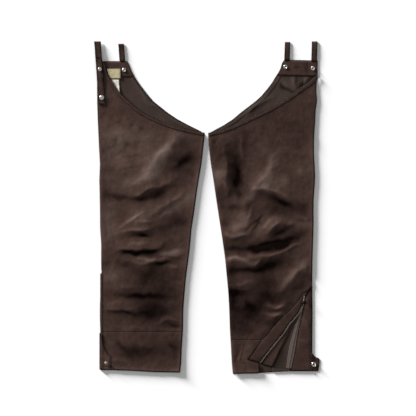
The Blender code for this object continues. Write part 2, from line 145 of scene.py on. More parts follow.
CREST = 0.22           # how much of a crease's narrower side its rounded crest takes
WANDER = 6.0           # how far noise carries a crease off its line


def crease_height(creases, x, y):
    """Sum of the creases at each place: a ridge (+) or trough (-) with a soft crest, along an uneven line.

    It fades out at its ends. It falls away over its lit width on the side of the waist and the left, and
    over its shade width on the other side.
    """
    x, y = x + WANDER * cockle(x, y, 34, 11.3), y + WANDER * cockle(x, y, 34, 15.8)
    total = np.zeros(np.shape(x))
    for crease in creases:
        path = np.array(crease.path, dtype=float)
        places = np.linspace(0, len(path) - 1, 5 * (len(path) - 1) + 1)
        line = np.stack([through(list(enumerate(path[:, axis])), places) for axis in (0, 1)], axis=1)
        best = np.full(np.shape(x), 1e9)
        share = np.zeros(np.shape(x))
        above = np.zeros(np.shape(x))
        for number, (start, end) in enumerate(zip(line, line[1:])):
            along = end - start
            t = np.clip(((x - start[0]) * along[0] + (y - start[1]) * along[1]) / (along @ along), 0, 1)
            dx, dy = x - start[0] - t * along[0], y - start[1] - t * along[1]
            distance = np.hypot(dx, dy)
            nearer = distance < best
            best = np.where(nearer, distance, best)
            share = np.where(nearer, (number + t) / (len(line) - 1), share)
            above = np.where(nearer, (dy - 0.8 * dx) / (distance + 1), above)
        width = crease.shade + (crease.lit - crease.shade) * ease(-0.4, 0.4, above)
        crest = CREST * min(crease.lit, crease.shade)
        fall = np.exp(-1.7 * (np.hypot(best, crest) - crest) / width)
        total += crease.height * fall * np.sin(pi * (0.1 + 0.8 * share)) ** 0.8
    return total


def rounded_line(points, spacing=1.0, passes=14):
    """Points a set distance apart along a line with slightly rounded corners, and how far along each is."""
    points = np.array(points, dtype=float)
    run = np.concatenate(([0], np.cumsum(np.hypot(*np.diff(points, axis=0).T))))
    places = np.linspace(0, run[-1], max(2, int(run[-1] / spacing)) + 1)
    line = np.stack([np.interp(places, run, points[:, axis]) for axis in (0, 1)], axis=1)
    for _ in range(passes):
        line[1:-1] = (line[:-2] + 2 * line[1:-1] + line[2:]) / 4
    run = np.concatenate(([0], np.cumsum(np.hypot(*np.diff(line, axis=0).T))))
    return line, run


# close spacing where the cloth rolls over at an edge
EDGE_STEPS = np.array([0.0, 0.4, 1.0, 1.9, 3.1, 4.8, 7.0])


def panel_grid(side, top, foot, spacing, outer_at):
    """Plan places of a panel's points: rows from foot to top, columns from its outer to its inner edge."""
    line, run = rounded_line(top)
    middle = np.linspace(EDGE_STEPS[-1], run[-1] - EDGE_STEPS[-1], int(run[-1] / spacing))
    along = np.concatenate((EDGE_STEPS[:-1], middle, run[-1] - EDGE_STEPS[-2::-1]))
    head_x = np.interp(along, run, line[:, 0])
    head_y = np.interp(along, run, line[:, 1])
    share = (head_x - head_x[0]) / (head_x[-1] - head_x[0])
    low = foot[0][1]
    foot_x = outer_at(side, np.array(low)) + share * (inner_edge(side, np.array(low)) - outer_at(side, low))
    foot_y = np.interp(foot_x, *np.array(sorted(foot), dtype=float).T)
    tall = (head_y - foot_y).max()
    middle = np.linspace(EDGE_STEPS[-1], tall - EDGE_STEPS[-1], int(tall / spacing))
    v = np.concatenate((EDGE_STEPS[:-1], middle, tall - EDGE_STEPS[-2::-1]))[:, None] / tall
    y = foot_y + v * (head_y - foot_y)
    x = outer_at(side, y) + share * (inner_edge(side, y) - outer_at(side, y))
    return x, y


def side_distance(side, x, y, outer_at=outer_edge):
    """How far each place is from the nearer side edge of its leg."""
    return np.minimum(np.abs(x - outer_at(side, y)), np.abs(x - inner_edge(side, y)))


def back_wave(side, x, y):
    """Low waves of the back panel, which the layers on it share."""
    wave = 0.22 * (1 + cockle(x, y, 70, 3.1)) + 0.06 * (1 + cockle(x, y, 18, 8.4))
    return CLOTH / 2 + wave * ease(0, 14, side_distance(side, x, y))


def back_height(side, x, y):
    """Middle of the back panel, with the breaks pressed into it."""
    lift = np.maximum(crease_height(BACK_CREASES[side], x, y), 0)
    return back_wave(side, x, y) + lift * ease(0, 14, side_distance(side, x, y))


def add_node(nodes, kind, settings=(), **inputs):
    """A node with some of its settings and input values."""
    node = nodes.new(kind)
    for name, value in settings:
        setattr(node, name, value)
    for name, value in inputs.items():
        node.inputs[name.replace("_", " ")].default_value = value
    return node


def new_finish(name, **values):
    """A new material with its shader's constant values, its nodes, and its links."""
    material = bpy.data.materials.new(name)
    material.use_nodes = True
    nodes, links = material.node_tree.nodes, material.node_tree.links
    shader = nodes["Principled BSDF"]
    for label, value in values.items():
        shader.inputs[label.replace("_", " ")].default_value = value
    return material, shader, nodes, links


def two_tone(nodes, links, low, high, share):
    """A mix from one colour to another, steered by a socket."""
    mix = add_node(nodes, "ShaderNodeMix", [("data_type", "RGBA")])
    mix.inputs[6].default_value = (*low, 1)
    mix.inputs[7].default_value = (*high, 1)
    links.new(share, mix.inputs[0])
    return mix.outputs[2]


def cotton_finish(name, deep, plain, rubbed_and_lit, roughness, grain):
    """Oiled cotton: a mottled waxy ground over a weave, with dark wax, painted shade, rubbing and painted
    highlight.
    """
    material, shader, nodes, links = new_finish(name)
    place = add_node(nodes, "ShaderNodeTexCoord")

    mottle = add_node(nodes, "ShaderNodeTexNoise", Scale=14.0, Detail=5.0, Roughness=0.5)
    links.new(place.outputs["Object"], mottle.inputs["Vector"])
    blotch = add_node(nodes, "ShaderNodeTexNoise", Scale=95.0, Detail=5.0, Roughness=0.7)
    links.new(place.outputs["Object"], blotch.inputs["Vector"])
    spread = add_node(nodes, "ShaderNodeMapRange", From_Min=0.36, From_Max=0.66)
    links.new(mottle.outputs["Fac"], spread.inputs["Value"])
    ground = two_tone(nodes, links, deep, plain, spread.outputs["Result"])

    # pale ridges from rubbing and painted highlight: where wear_and_painted_light is positive, broken up by
    # the blotches
    wear_and_painted_light = add_node(nodes, "ShaderNodeAttribute", [("attribute_name", "wear_and_painted_light")])
    speckle = add_node(nodes, "ShaderNodeMath", [("operation", "MULTIPLY_ADD")])
    speckle.inputs[1].default_value = 0.3
    speckle.inputs[2].default_value = -0.12
    links.new(blotch.outputs["Fac"], speckle.inputs[0])
    ridge = add_node(nodes, "ShaderNodeMapRange", To_Max=0.95)
    links.new(wear_and_painted_light.outputs["Fac"], ridge.inputs["Value"])
    rub_and_highlight = add_node(nodes, "ShaderNodeMath", [("operation", "ADD"), ("use_clamp", True)])
    links.new(speckle.outputs[0], rub_and_highlight.inputs[0])
    links.new(ridge.outputs["Result"], rub_and_highlight.inputs[1])
    worn_and_lit = add_node(nodes, "ShaderNodeMix", [("data_type", "RGBA")])
    worn_and_lit.inputs[7].default_value = (*rubbed_and_lit, 1)
    links.new(rub_and_highlight.outputs[0], worn_and_lit.inputs[0])
    links.new(ground, worn_and_lit.inputs[6])
    # painted shade: where wear_and_painted_light is negative, the colour and the specular are darkened
    # together
    trough = add_node(nodes, "ShaderNodeMapRange", From_Min=-1.0, From_Max=0.0, To_Min=0.07)
    links.new(wear_and_painted_light.outputs["Fac"], trough.inputs["Value"])
    shaded = add_node(nodes, "ShaderNodeMix", [("data_type", "RGBA"), ("blend_type", "MULTIPLY")])
    shaded.inputs[0].default_value = 1.0
    links.new(worn_and_lit.outputs[2], shaded.inputs[6])
    links.new(trough.outputs["Result"], shaded.inputs[7])
    links.new(shaded.outputs[2], shader.inputs["Base Color"])
    shine = add_node(nodes, "ShaderNodeMath", [("operation", "MULTIPLY")])
    shine.inputs[1].default_value = 0.2
    links.new(trough.outputs["Result"], shine.inputs[0])
    links.new(shine.outputs[0], shader.inputs["Specular IOR Level"])

    gloss = add_node(nodes, "ShaderNodeMapRange", From_Min=0.3, From_Max=0.7, To_Min=roughness - 0.08,
                     To_Max=roughness + 0.10)
    links.new(blotch.outputs["Fac"], gloss.inputs["Value"])
    links.new(gloss.outputs["Result"], shader.inputs["Roughness"])

    # the weave follows the cut, and the waxy crinkle lies over it
    cut = add_node(nodes, "ShaderNodeUVMap", [("uv_map", "cut")])
    yarns = []
    for direction in ("X", "Y"):
        yarn = add_node(nodes, "ShaderNodeTexWave", [("bands_direction", direction)], Scale=430.0,
                        Distortion=1.2, Detail=1.0, Detail_Scale=2.0)
        links.new(cut.outputs["UV"], yarn.inputs["Vector"])
        yarns.append(yarn)
    crossing = add_node(nodes, "ShaderNodeMath", [("operation", "MAXIMUM")])
    links.new(yarns[0].outputs["Fac"], crossing.inputs[0])
    links.new(yarns[1].outputs["Fac"], crossing.inputs[1])
    fine = add_node(nodes, "ShaderNodeBump", Strength=0.35, Distance=0.00012)
    links.new(crossing.outputs[0], fine.inputs["Height"])
    crinkle = add_node(nodes, "ShaderNodeTexNoise", Scale=150.0, Detail=6.0, Roughness=0.62, Distortion=0.6)
    links.new(place.outputs["Object"], crinkle.inputs["Vector"])
    coarse = add_node(nodes, "ShaderNodeBump", Strength=grain, Distance=0.001)
    links.new(crinkle.outputs["Fac"], coarse.inputs["Height"])
    links.new(fine.outputs["Normal"], coarse.inputs["Normal"])
    links.new(coarse.outputs["Normal"], shader.inputs["Normal"])
    return material


# the third colour of each is the pale of rubbing and painted highlight
OILED_COTTON = cotton_finish("Oiled cotton", (0.0350, 0.0165, 0.0118), (0.0450, 0.0220, 0.0160),
                             (0.125, 0.084, 0.070), roughness=0.46, grain=0.16)
COTTON_INSIDE = cotton_finish("Inside of oiled cotton", (0.034, 0.0205, 0.0155), (0.046, 0.0280, 0.0215),
                              (0.062, 0.041, 0.033), roughness=0.66, grain=0.15)

CURVE_WEAR_AND_LIGHT = 0.3       # a crease's own curve as painted shade in troughs, rubbing and painted highlight on crests


def set_out(name, mesh):
    """A new object with that mesh, in the scene."""
    piece = bpy.data.objects.new(name, mesh)
    bpy.context.scene.collection.objects.link(piece)
    return piece


def cloth_shell(name, x, y, z, material, thickness=CLOTH, tone=0.0, rim=0.7, edge_shade_width=2.6,
                foot_edge_shade=1.0, head_edge_shade=1.0):
    """A sheet of cloth on a grid of its middle points, with its cut as its UV map and its
    wear_and_painted_light on it.

    That runs from -1, dark with wax and painted shade, to 1, pale with rubbing and painted highlight. It is
    the tone plus what the creases' own curves give, as painted shade in their troughs and painted highlight
    on their crests, less the rim, which is how dark the painted shade along the edges is. The foot and head
    edge shades are the shares of that rim along the first and the last row of points.
    """
    rows, columns = x.shape
    points = np.stack((x, y, z), axis=2).reshape(-1, 3) * MM
    corner = np.arange(rows * columns).reshape(rows, columns)
    quads = np.stack((corner[:-1, :-1], corner[:-1, 1:], corner[1:, 1:], corner[1:, :-1]), axis=2)
    quads = quads.reshape(-1, 4)
    across, up = points[corner[0, -1]] - points[corner[0, 0]], points[corner[-1, 0]] - points[corner[0, 0]]
    if across[0] * up[1] - across[1] * up[0] < 0:
        quads = quads[:, ::-1]
    mesh = bpy.data.meshes.new(name)
    mesh.from_pydata(points, [], quads.tolist())
    cut = mesh.uv_layers.new(name="cut")
    order = np.empty(len(mesh.loops), dtype=np.int32)
    mesh.loops.foreach_get("vertex_index", order)
    cut.uv.foreach_set("vector", points[order, :2].astype(np.float32).ravel())

    soft = np.pad(z, 8, mode="edge")
    for _ in range(5):
        soft[1:-1, 1:-1] = (soft[:-2, 1:-1] + soft[2:, 1:-1] + soft[1:-1, :-2] + soft[1:-1, 2:]
                            + 2 * soft[1:-1, 1:-1]) / 6
    reach = 5
    inside = soft[8:-8, 8:-8]
    around = (soft[8 - reach:-8 - reach, 8:-8] + soft[8 + reach:soft.shape[0] - 8 + reach, 8:-8]
              + soft[8:-8, 8 - reach:-8 - reach] + soft[8:-8, 8 + reach:soft.shape[1] - 8 + reach]) / 4
    wear_and_painted_light = mesh.attributes.new("wear_and_painted_light", "FLOAT", "POINT")
    amount = np.clip(tone + CURVE_WEAR_AND_LIGHT * np.clip((inside - around) / 1.1, -1, 1), -1, 1)
    # painted shade along the edges: darkened by the rim, over the edge shade width from each edge
    edge_shade = np.zeros(x.shape)
    edges = ((foot_edge_shade, np.s_[:1]), (head_edge_shade, np.s_[-1:]), (1.0, np.s_[:, :1]), (1.0, np.s_[:, -1:]))
    for share, at in edges:
        near = np.hypot(x - x[at], y - y[at]) / edge_shade_width
        edge_shade = np.maximum(edge_shade, share * np.exp(-near ** 2))
    amount = np.clip(amount - rim * (1 + np.maximum(amount, 0)) * edge_shade, -1, 1)
    wear_and_painted_light.data.foreach_set("value", amount.astype(np.float32).ravel())
    mesh.materials.append(material)
    mesh.shade_smooth()
    piece = set_out(name, mesh)
    wall = piece.modifiers.new("Wall", "SOLIDIFY")
    wall.thickness = thickness * MM
    wall.offset = 0.0
    return piece


def hand_over(piece, nodes, body="chaps"):
    """Put a finished piece on its body, in place of its plain solids."""
    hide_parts(*nodes)
    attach(piece, body)


# where wax lies thick and dark (-) and thin and pale (+), as soft uneven patches, which also hold painted
# shade (-) and painted highlight (+) on the sides of folds
Patch = namedtuple("Patch", "x y long wide turn tone")
BACK_PATCHES = {
    "left": [Patch(-215, 350, 60, 20, -50, -0.12), Patch(-90, 275, 60, 14, -25, -0.3)],
    "right": [
        Patch(232, -480, 40, 90, 0, -0.55), Patch(320, 400, 30, 15, 32, -0.9),
        Patch(342, 422, 12, 16, 0, -0.5), Patch(268, 385, 38, 6, -36, -1.0),
        Patch(172, 336, 64, 5, 33, -0.4), Patch(290, 420, 5, 24, 0, -0.5),
        Patch(306, 408, 3, 30, 0, -0.4), Patch(313, 406, 3, 30, 0, -0.6),
        Patch(244, 400, 18, 9, -35, -0.6), Patch(230, 395, 60, 30, 0, 0.12),
        Patch(160, 322, 26, 12, 30, -0.25),
    ],
}


def wax_and_painted_light(patches, x, y):
    """Tone of the wax, with painted shade and painted highlight, at each place, from its patches with torn,
    uneven borders.
    """
    x, y = x + 7 * cockle(x, y, 26, 2.2) + 3 * cockle(x, y, 9, 4.4), y + 7 * cockle(x, y, 26, 6.6)
    total = 0.10 * cockle(x, y, 50, 9.9)
    for patch in patches:
        along = (cos(radians(patch.turn)), sin(radians(patch.turn)))
        u = ((x - patch.x) * along[0] + (y - patch.y) * along[1]) / patch.long
        v = ((y - patch.y) * along[0] - (x - patch.x) * along[1]) / patch.wide
        total += patch.tone * np.exp(-1.3 * (u * u + v * v))
    return total


BACK_SPACING = 4.0
for side in ("left", "right"):
    x, y = panel_grid(side, BACK_TOP[side], HEM[side], BACK_SPACING, outer_edge)
    back = cloth_shell(f"{side}_back_cloth", x, y, back_height(side, x, y), COTTON_INSIDE,
                       tone=wax_and_painted_light(BACK_PATCHES[side], x, y))
    hand_over(back, [f"{side}_back"])


# ================================================== facings of the back panels
# A deep facing strengthens each back's waist, and a narrow one runs down its curved edge to the inside leg.
# Both are strips of the same cotton with their raw edges turned under. Stitches run near their outer edges.

FACING_WIDTH = 13
EDGE_STITCH = 2.0      # how far a row of stitches runs from the edge that it holds
WAIST_FACING = {
    "left": ([(-358.5, 479), (-262, 479.5)], [(-358.5, 427), (-240, 427)]),
    "right": ([(362.5, 480.5), (255, 483.5)], [(361, 430), (229, 434)]),
}
WAIST_FACING_END = {
    "left": [(-262, 479.5), (-257.5, 467), (-250.5, 448), (-241, 428)],
    "right": [(255, 483.5), (248, 473), (240.5, 449), (230, 434)],
}
# painted shade of the side seam that shows through the right facing and of its folds, and the bar tacks over
# its loops
WAIST_PATCHES = {
    "left": [Patch(-300, 466, 14, 7, 0, -0.2), Patch(-268, 445, 5, 18, 0, -0.2)],
    "right": [Patch(330, 458, 4, 32, 0, -0.6), Patch(320, 458, 3, 30, 0, -0.4),
              Patch(293, 463, 8, 4, 0, -1.0), Patch(300, 440, 26, 4, 0, -0.15),
              Patch(354, 458, 4, 30, 0, -0.3)],
}
stitch_lines = []      # every row of stitches, as points in millimetres, sewn in the last section


def between(first, last, spacing=4.0, passes=2):
    """Places on a strip of cloth between two lines of points: rows follow the lines, columns cross them."""
    (one, one_run), (two, two_run) = rounded_line(first, 1.0, passes), rounded_line(last, 1.0, passes)
    long = max(one_run[-1], two_run[-1])
    wide = max(np.hypot(*(one[0] - two[0])), np.hypot(*(one[-1] - two[-1])))
    along = np.linspace(0, 1, max(4, int(long / spacing)) + 1)
    edge = EDGE_STEPS[:3] / wide
    across = np.concatenate((edge[:-1], np.linspace(edge[-1], 1 - edge[-1], max(2, int(wide / spacing)) + 1),
                             1 - edge[-2::-1]))[:, None]
    ends = [np.stack([np.interp(along * run[-1], run, line[:, axis]) for axis in (0, 1)])
            for line, run in ((one, one_run), (two, two_run))]
    x = ends[0][0] + across * (ends[1][0] - ends[0][0])
    y = ends[0][1] + across * (ends[1][1] - ends[0][1])
    return x, y


def edge_falloff(x, y, reach=2.0):
    """0 at the long edges of a strip and 1 from there inwards, for a turned edge that rounds over."""
    near = np.minimum(np.hypot(x - x[0], y - y[0]), np.hypot(x - x[-1], y - y[-1]))
    t = np.clip(near / reach, 0, 1)
    return np.sqrt(1 - (1 - t) ** 2)


def sew(points, height_at, inset=0.0):
    """Keep a row of stitches along a line, moved to its left by the inset, on the cloth at height_at."""
    line, _ = rounded_line(points, 4.0, 0)
    along = np.gradient(line, axis=0)
    along /= np.hypot(*along.T)[:, None]
    x, y = line[:, 0] - along[:, 1] * inset, line[:, 1] + along[:, 0] * inset
    stitch_lines.append(np.stack((x, y, height_at(x, y) + CLOTH / 2 - 0.04), axis=1))


for side in ("left", "right"):
    def facing_height(x, y, side=side):
        return back_height(side, x, y) + LAYER

    top, foot = WAIST_FACING[side]
    end = WAIST_FACING_END[side]
    outer_x = top[0][0]
    x, y = between([(outer_x, top[0][1]), (outer_x, foot[0][1])], end, spacing=5.0, passes=0)
    near = np.minimum(np.abs(top[0][1] + 1 - y), np.abs(y - foot[0][1]))
    rounding = 0.8 * (1 - np.sqrt(1 - (1 - np.clip(near / 3.5, 0, 1)) ** 2))
    z = facing_height(x, y) - 0.3 - rounding
    facing = cloth_shell(f"{side}_waist_facing_cloth", x, y, z, OILED_COTTON,
                         tone=wax_and_painted_light(WAIST_PATCHES[side], x, y), rim=0.3)
    hand_over(facing, [f"{side}_waist_facing"])
    turn = 1 if side == "left" else -1
    sew([top[0], top[1]], lambda x, y: facing_height(x, y) - 0.6, -EDGE_STITCH * turn)
    sew([foot[0], foot[1]], lambda x, y: facing_height(x, y) - 0.6, EDGE_STITCH * turn)
    sew(end, lambda x, y: facing_height(x, y) - 0.35, -EDGE_STITCH * turn)

    curve = BACK_TOP[side][3:] if side == "left" else BACK_TOP[side][5:]
    line, _ = rounded_line(curve, 6.0, 1)
    along = np.gradient(line, axis=0)
    along /= np.hypot(*along.T)[:, None]
    inward = np.stack((-along[:, 1], along[:, 0]), axis=1) * -turn * FACING_WIDTH
    edge = line + inward * 0.06
    x, y = between(edge, line + inward, spacing=3.5)
    z = facing_height(x, y) - 0.8 - 0.6 * (1 - edge_falloff(x, y, 6.0))
    z = z - 0.3 * (1 - edge_falloff(x.T, y.T, 14.0).T)
    facing = cloth_shell(f"{side}_edge_facing_cloth", x, y, z, COTTON_INSIDE, rim=0.9, head_edge_shade=0.0)
    hand_over(facing, [f"{side}_back_edge_facing"])
    sew(line, lambda x, y: facing_height(x, y) - 0.95, -EDGE_STITCH * turn)


# ================================================== front panels
# Each front panel lies on its back panel from the inside leg to the hip, and shows nearly all of the leg.
# The oiled cotton keeps the creases of use as soft ridges and troughs, with painted shade in the troughs and
# rubbing and painted highlight along their crests.

FRONT_SPACING = 3.4
CROWN = 2.6            # how far the middle of a front stands above its sides
SIDE_WELT = 3.1        # how far the folded layers of a side seam lift its edge
HEM_CROWN = 1.2        # the same, down at the hem
HEM_WELT = 2.2         # how far the folded layers of a hem lift its foot
HEM_SEAM = {"left": -408, "right": -434}
FRONT_TOP = {
    "left": [(-361, 480), (-337, 480), (-331, 447), (-316, 419), (-292, 381), (-271, 361), (-251, 343),
             (-220, 317), (-187, 299), (-154, 284), (-122, 272), (-89, 262), (-50, 254), (-8, 244)],
    "right": [(363, 434), (338, 413), (305, 390), (272, 366), (239, 345), (206, 326), (174, 310),
              (141, 295), (108, 279), (75, 264), (42, 253), (4, 244)],
}
LEFT_FRONT_OUTER = OUTER_EDGE["left"][:11] + [(-204, -347), (-216, -343.6), (-230, -343.6), (-545, -343.6)]
PLACKET_EDGE = [(-254, 345), (-262, 340), (-270, 334), (-287, 315), (-313, 295), (-330, 279), (-366, 239),
                (-402, 210), (-434, 181), (-467, 157), (-500, 135), (-507, 150), (-512, 171), (-545, 171)]

FRONT_CREASES = {
    "left": [
        # thigh
        Crease([(-98, 232), (-136, 188), (-172, 146), (-192, 96)], 4.4, 60, 48),
        Crease([(-62, 118), (-32, 92)], -1.4, 15, 16),
        Crease([(-338, 52), (-288, 34), (-236, 26)], -1.9, 20, 26),
        Crease([(-242, 36), (-192, 60), (-124, 76)], 3.4, 38, 14),
        Crease([(-66, 62), (-104, 26), (-150, 2), (-196, -34)], 2.2, 22, 30),
        Crease([(-340, 186), (-346, 176)], -1, 12, 13),
        Crease([(-296, 278), (-276, 270)], -0.6, 12, 14),
        Crease([(-256, 270), (-240, 262)], -0.7, 14, 14),
        Crease([(-218, 264), (-200, 256)], -0.6, 12, 14),
        Crease([(-306, 224), (-290, 216)], -0.8, 14, 15),
        Crease([(-270, 208), (-254, 200)], -0.8, 14, 16),
        Crease([(-318, 140), (-268, 120), (-230, 128)], 1.4, 42, 29),
        Crease([(-300, 96), (-250, 76), (-210, 92)], 1.3, 32, 23),
        # above the knee
        Crease([(-288, -70), (-240, -38), (-206, -16)], 1.4, 10, 10),
        Crease([(-230, -47), (-186, -48)], 1.4, 10, 10),
        Crease([(-278, -79), (-232, -77), (-184, -74)], 2.8, 28, 12),
        Crease([(-252, -98), (-214, -94), (-186, -98)], -1.4, 15, 16),
        # knee
        Crease([(-296, -143), (-262, -136), (-204, -144), (-152, -132)], 3.4, 32, 12),
        Crease([(-266, -174), (-206, -188), (-164, -174), (-92, -158)], 2.6, 16, 29),
        Crease([(-156, -163), (-118, -166), (-84, -171)], -1.3, 10, 10),
        Crease([(-126, -194), (-94, -200)], 1.2, 15, 18),
        Crease([(-184, -188), (-164, -222)], -1.2, 18, 18),
        # shin
        Crease([(-338, -266), (-272, -262), (-198, -264)], 1.6, 45, 21),
        Crease([(-336, -333), (-290, -338), (-230, -337)], 2.1, 32, 14),
        Crease([(-158, -381), (-126, -367), (-86, -379)], 2, 18, 10),
        Crease([(-180, -300), (-130, -322), (-92, -318)], 1.3, 28, 21),
        Crease([(-310, -392), (-250, -398), (-200, -392)], 1, 20, 16),
    ],
    "right": [
        # thigh
        Crease([(54, 196), (67, 140), (64, 92), (66, 42)], 3.4, 45, 16),
        Crease([(94, 88), (100, 58)], -1.5, 20, 23),
        Crease([(112, 228), (123, 158)], 1.6, 16, 12),
        Crease([(214, 168), (204, 110), (168, 80), (148, 36)], 2.4, 24, 30),
        Crease([(156, 58), (202, 58), (274, 22), (308, -6)], 2.5, 38, 13),
        Crease([(298, -36), (342, -38)], 1.2, 10, 10),
        Crease([(20, 218), (36, 208)], -1.3, 10, 12),
        Crease([(244, 240), (262, 200), (300, 176)], 1.3, 32, 23),
        Crease([(300, 130), (318, 96)], 1.1, 28, 21),
        # above the knee
        Crease([(182, -30), (152, -57), (125, -79)], -1.9, 10, 10),
        Crease([(146, -2), (136, -40)], 2.1, 15, 14),
        Crease([(52, -88), (92, -96), (130, -90)], 3.1, 30, 13),
        Crease([(240, -46), (220, -62), (198, -84)], 2.9, 22, 14),
        Crease([(236, -54), (276, -58), (314, -64)], 2.1, 30, 36),
        Crease([(140, -128), (196, -122), (258, -112)], -2.1, 25, 14),
        # knee
        Crease([(310, -116), (273, -132), (240, -146), (200, -158), (148, -159)], 2.2, 10, 16),
        Crease([(142, -152), (150, -166), (168, -168)], 1.4, 10, 10),
        Crease([(60, -174), (92, -164), (126, -175), (153, -188), (180, -168)], 3.1, 14, 18),
        Crease([(76, -198), (150, -208), (222, -196)], -1.5, 18, 21),
        # calf
        Crease([(332, -190), (299, -207), (277, -235), (244, -272)], 3.2, 36, 26),
        Crease([(68, -264), (108, -269), (142, -266)], 2.2, 25, 14),
        Crease([(86, -318), (128, -323)], 1.5, 15, 16),
        Crease([(128, -308), (162, -338)], -1.4, 15, 17),
        Crease([(202, -326), (226, -331), (252, -325)], 2.2, 11, 10),
        Crease([(186, -350), (216, -357), (250, -351)], 1.9, 11, 14),
        Crease([(148, -366), (180, -388)], -1.4, 14, 16),
        Crease([(334, -266), (304, -306), (276, -336)], 1.5, 11, 10),
        Crease([(90, -390), (130, -400)], 1.1, 18, 16),
    ],
}

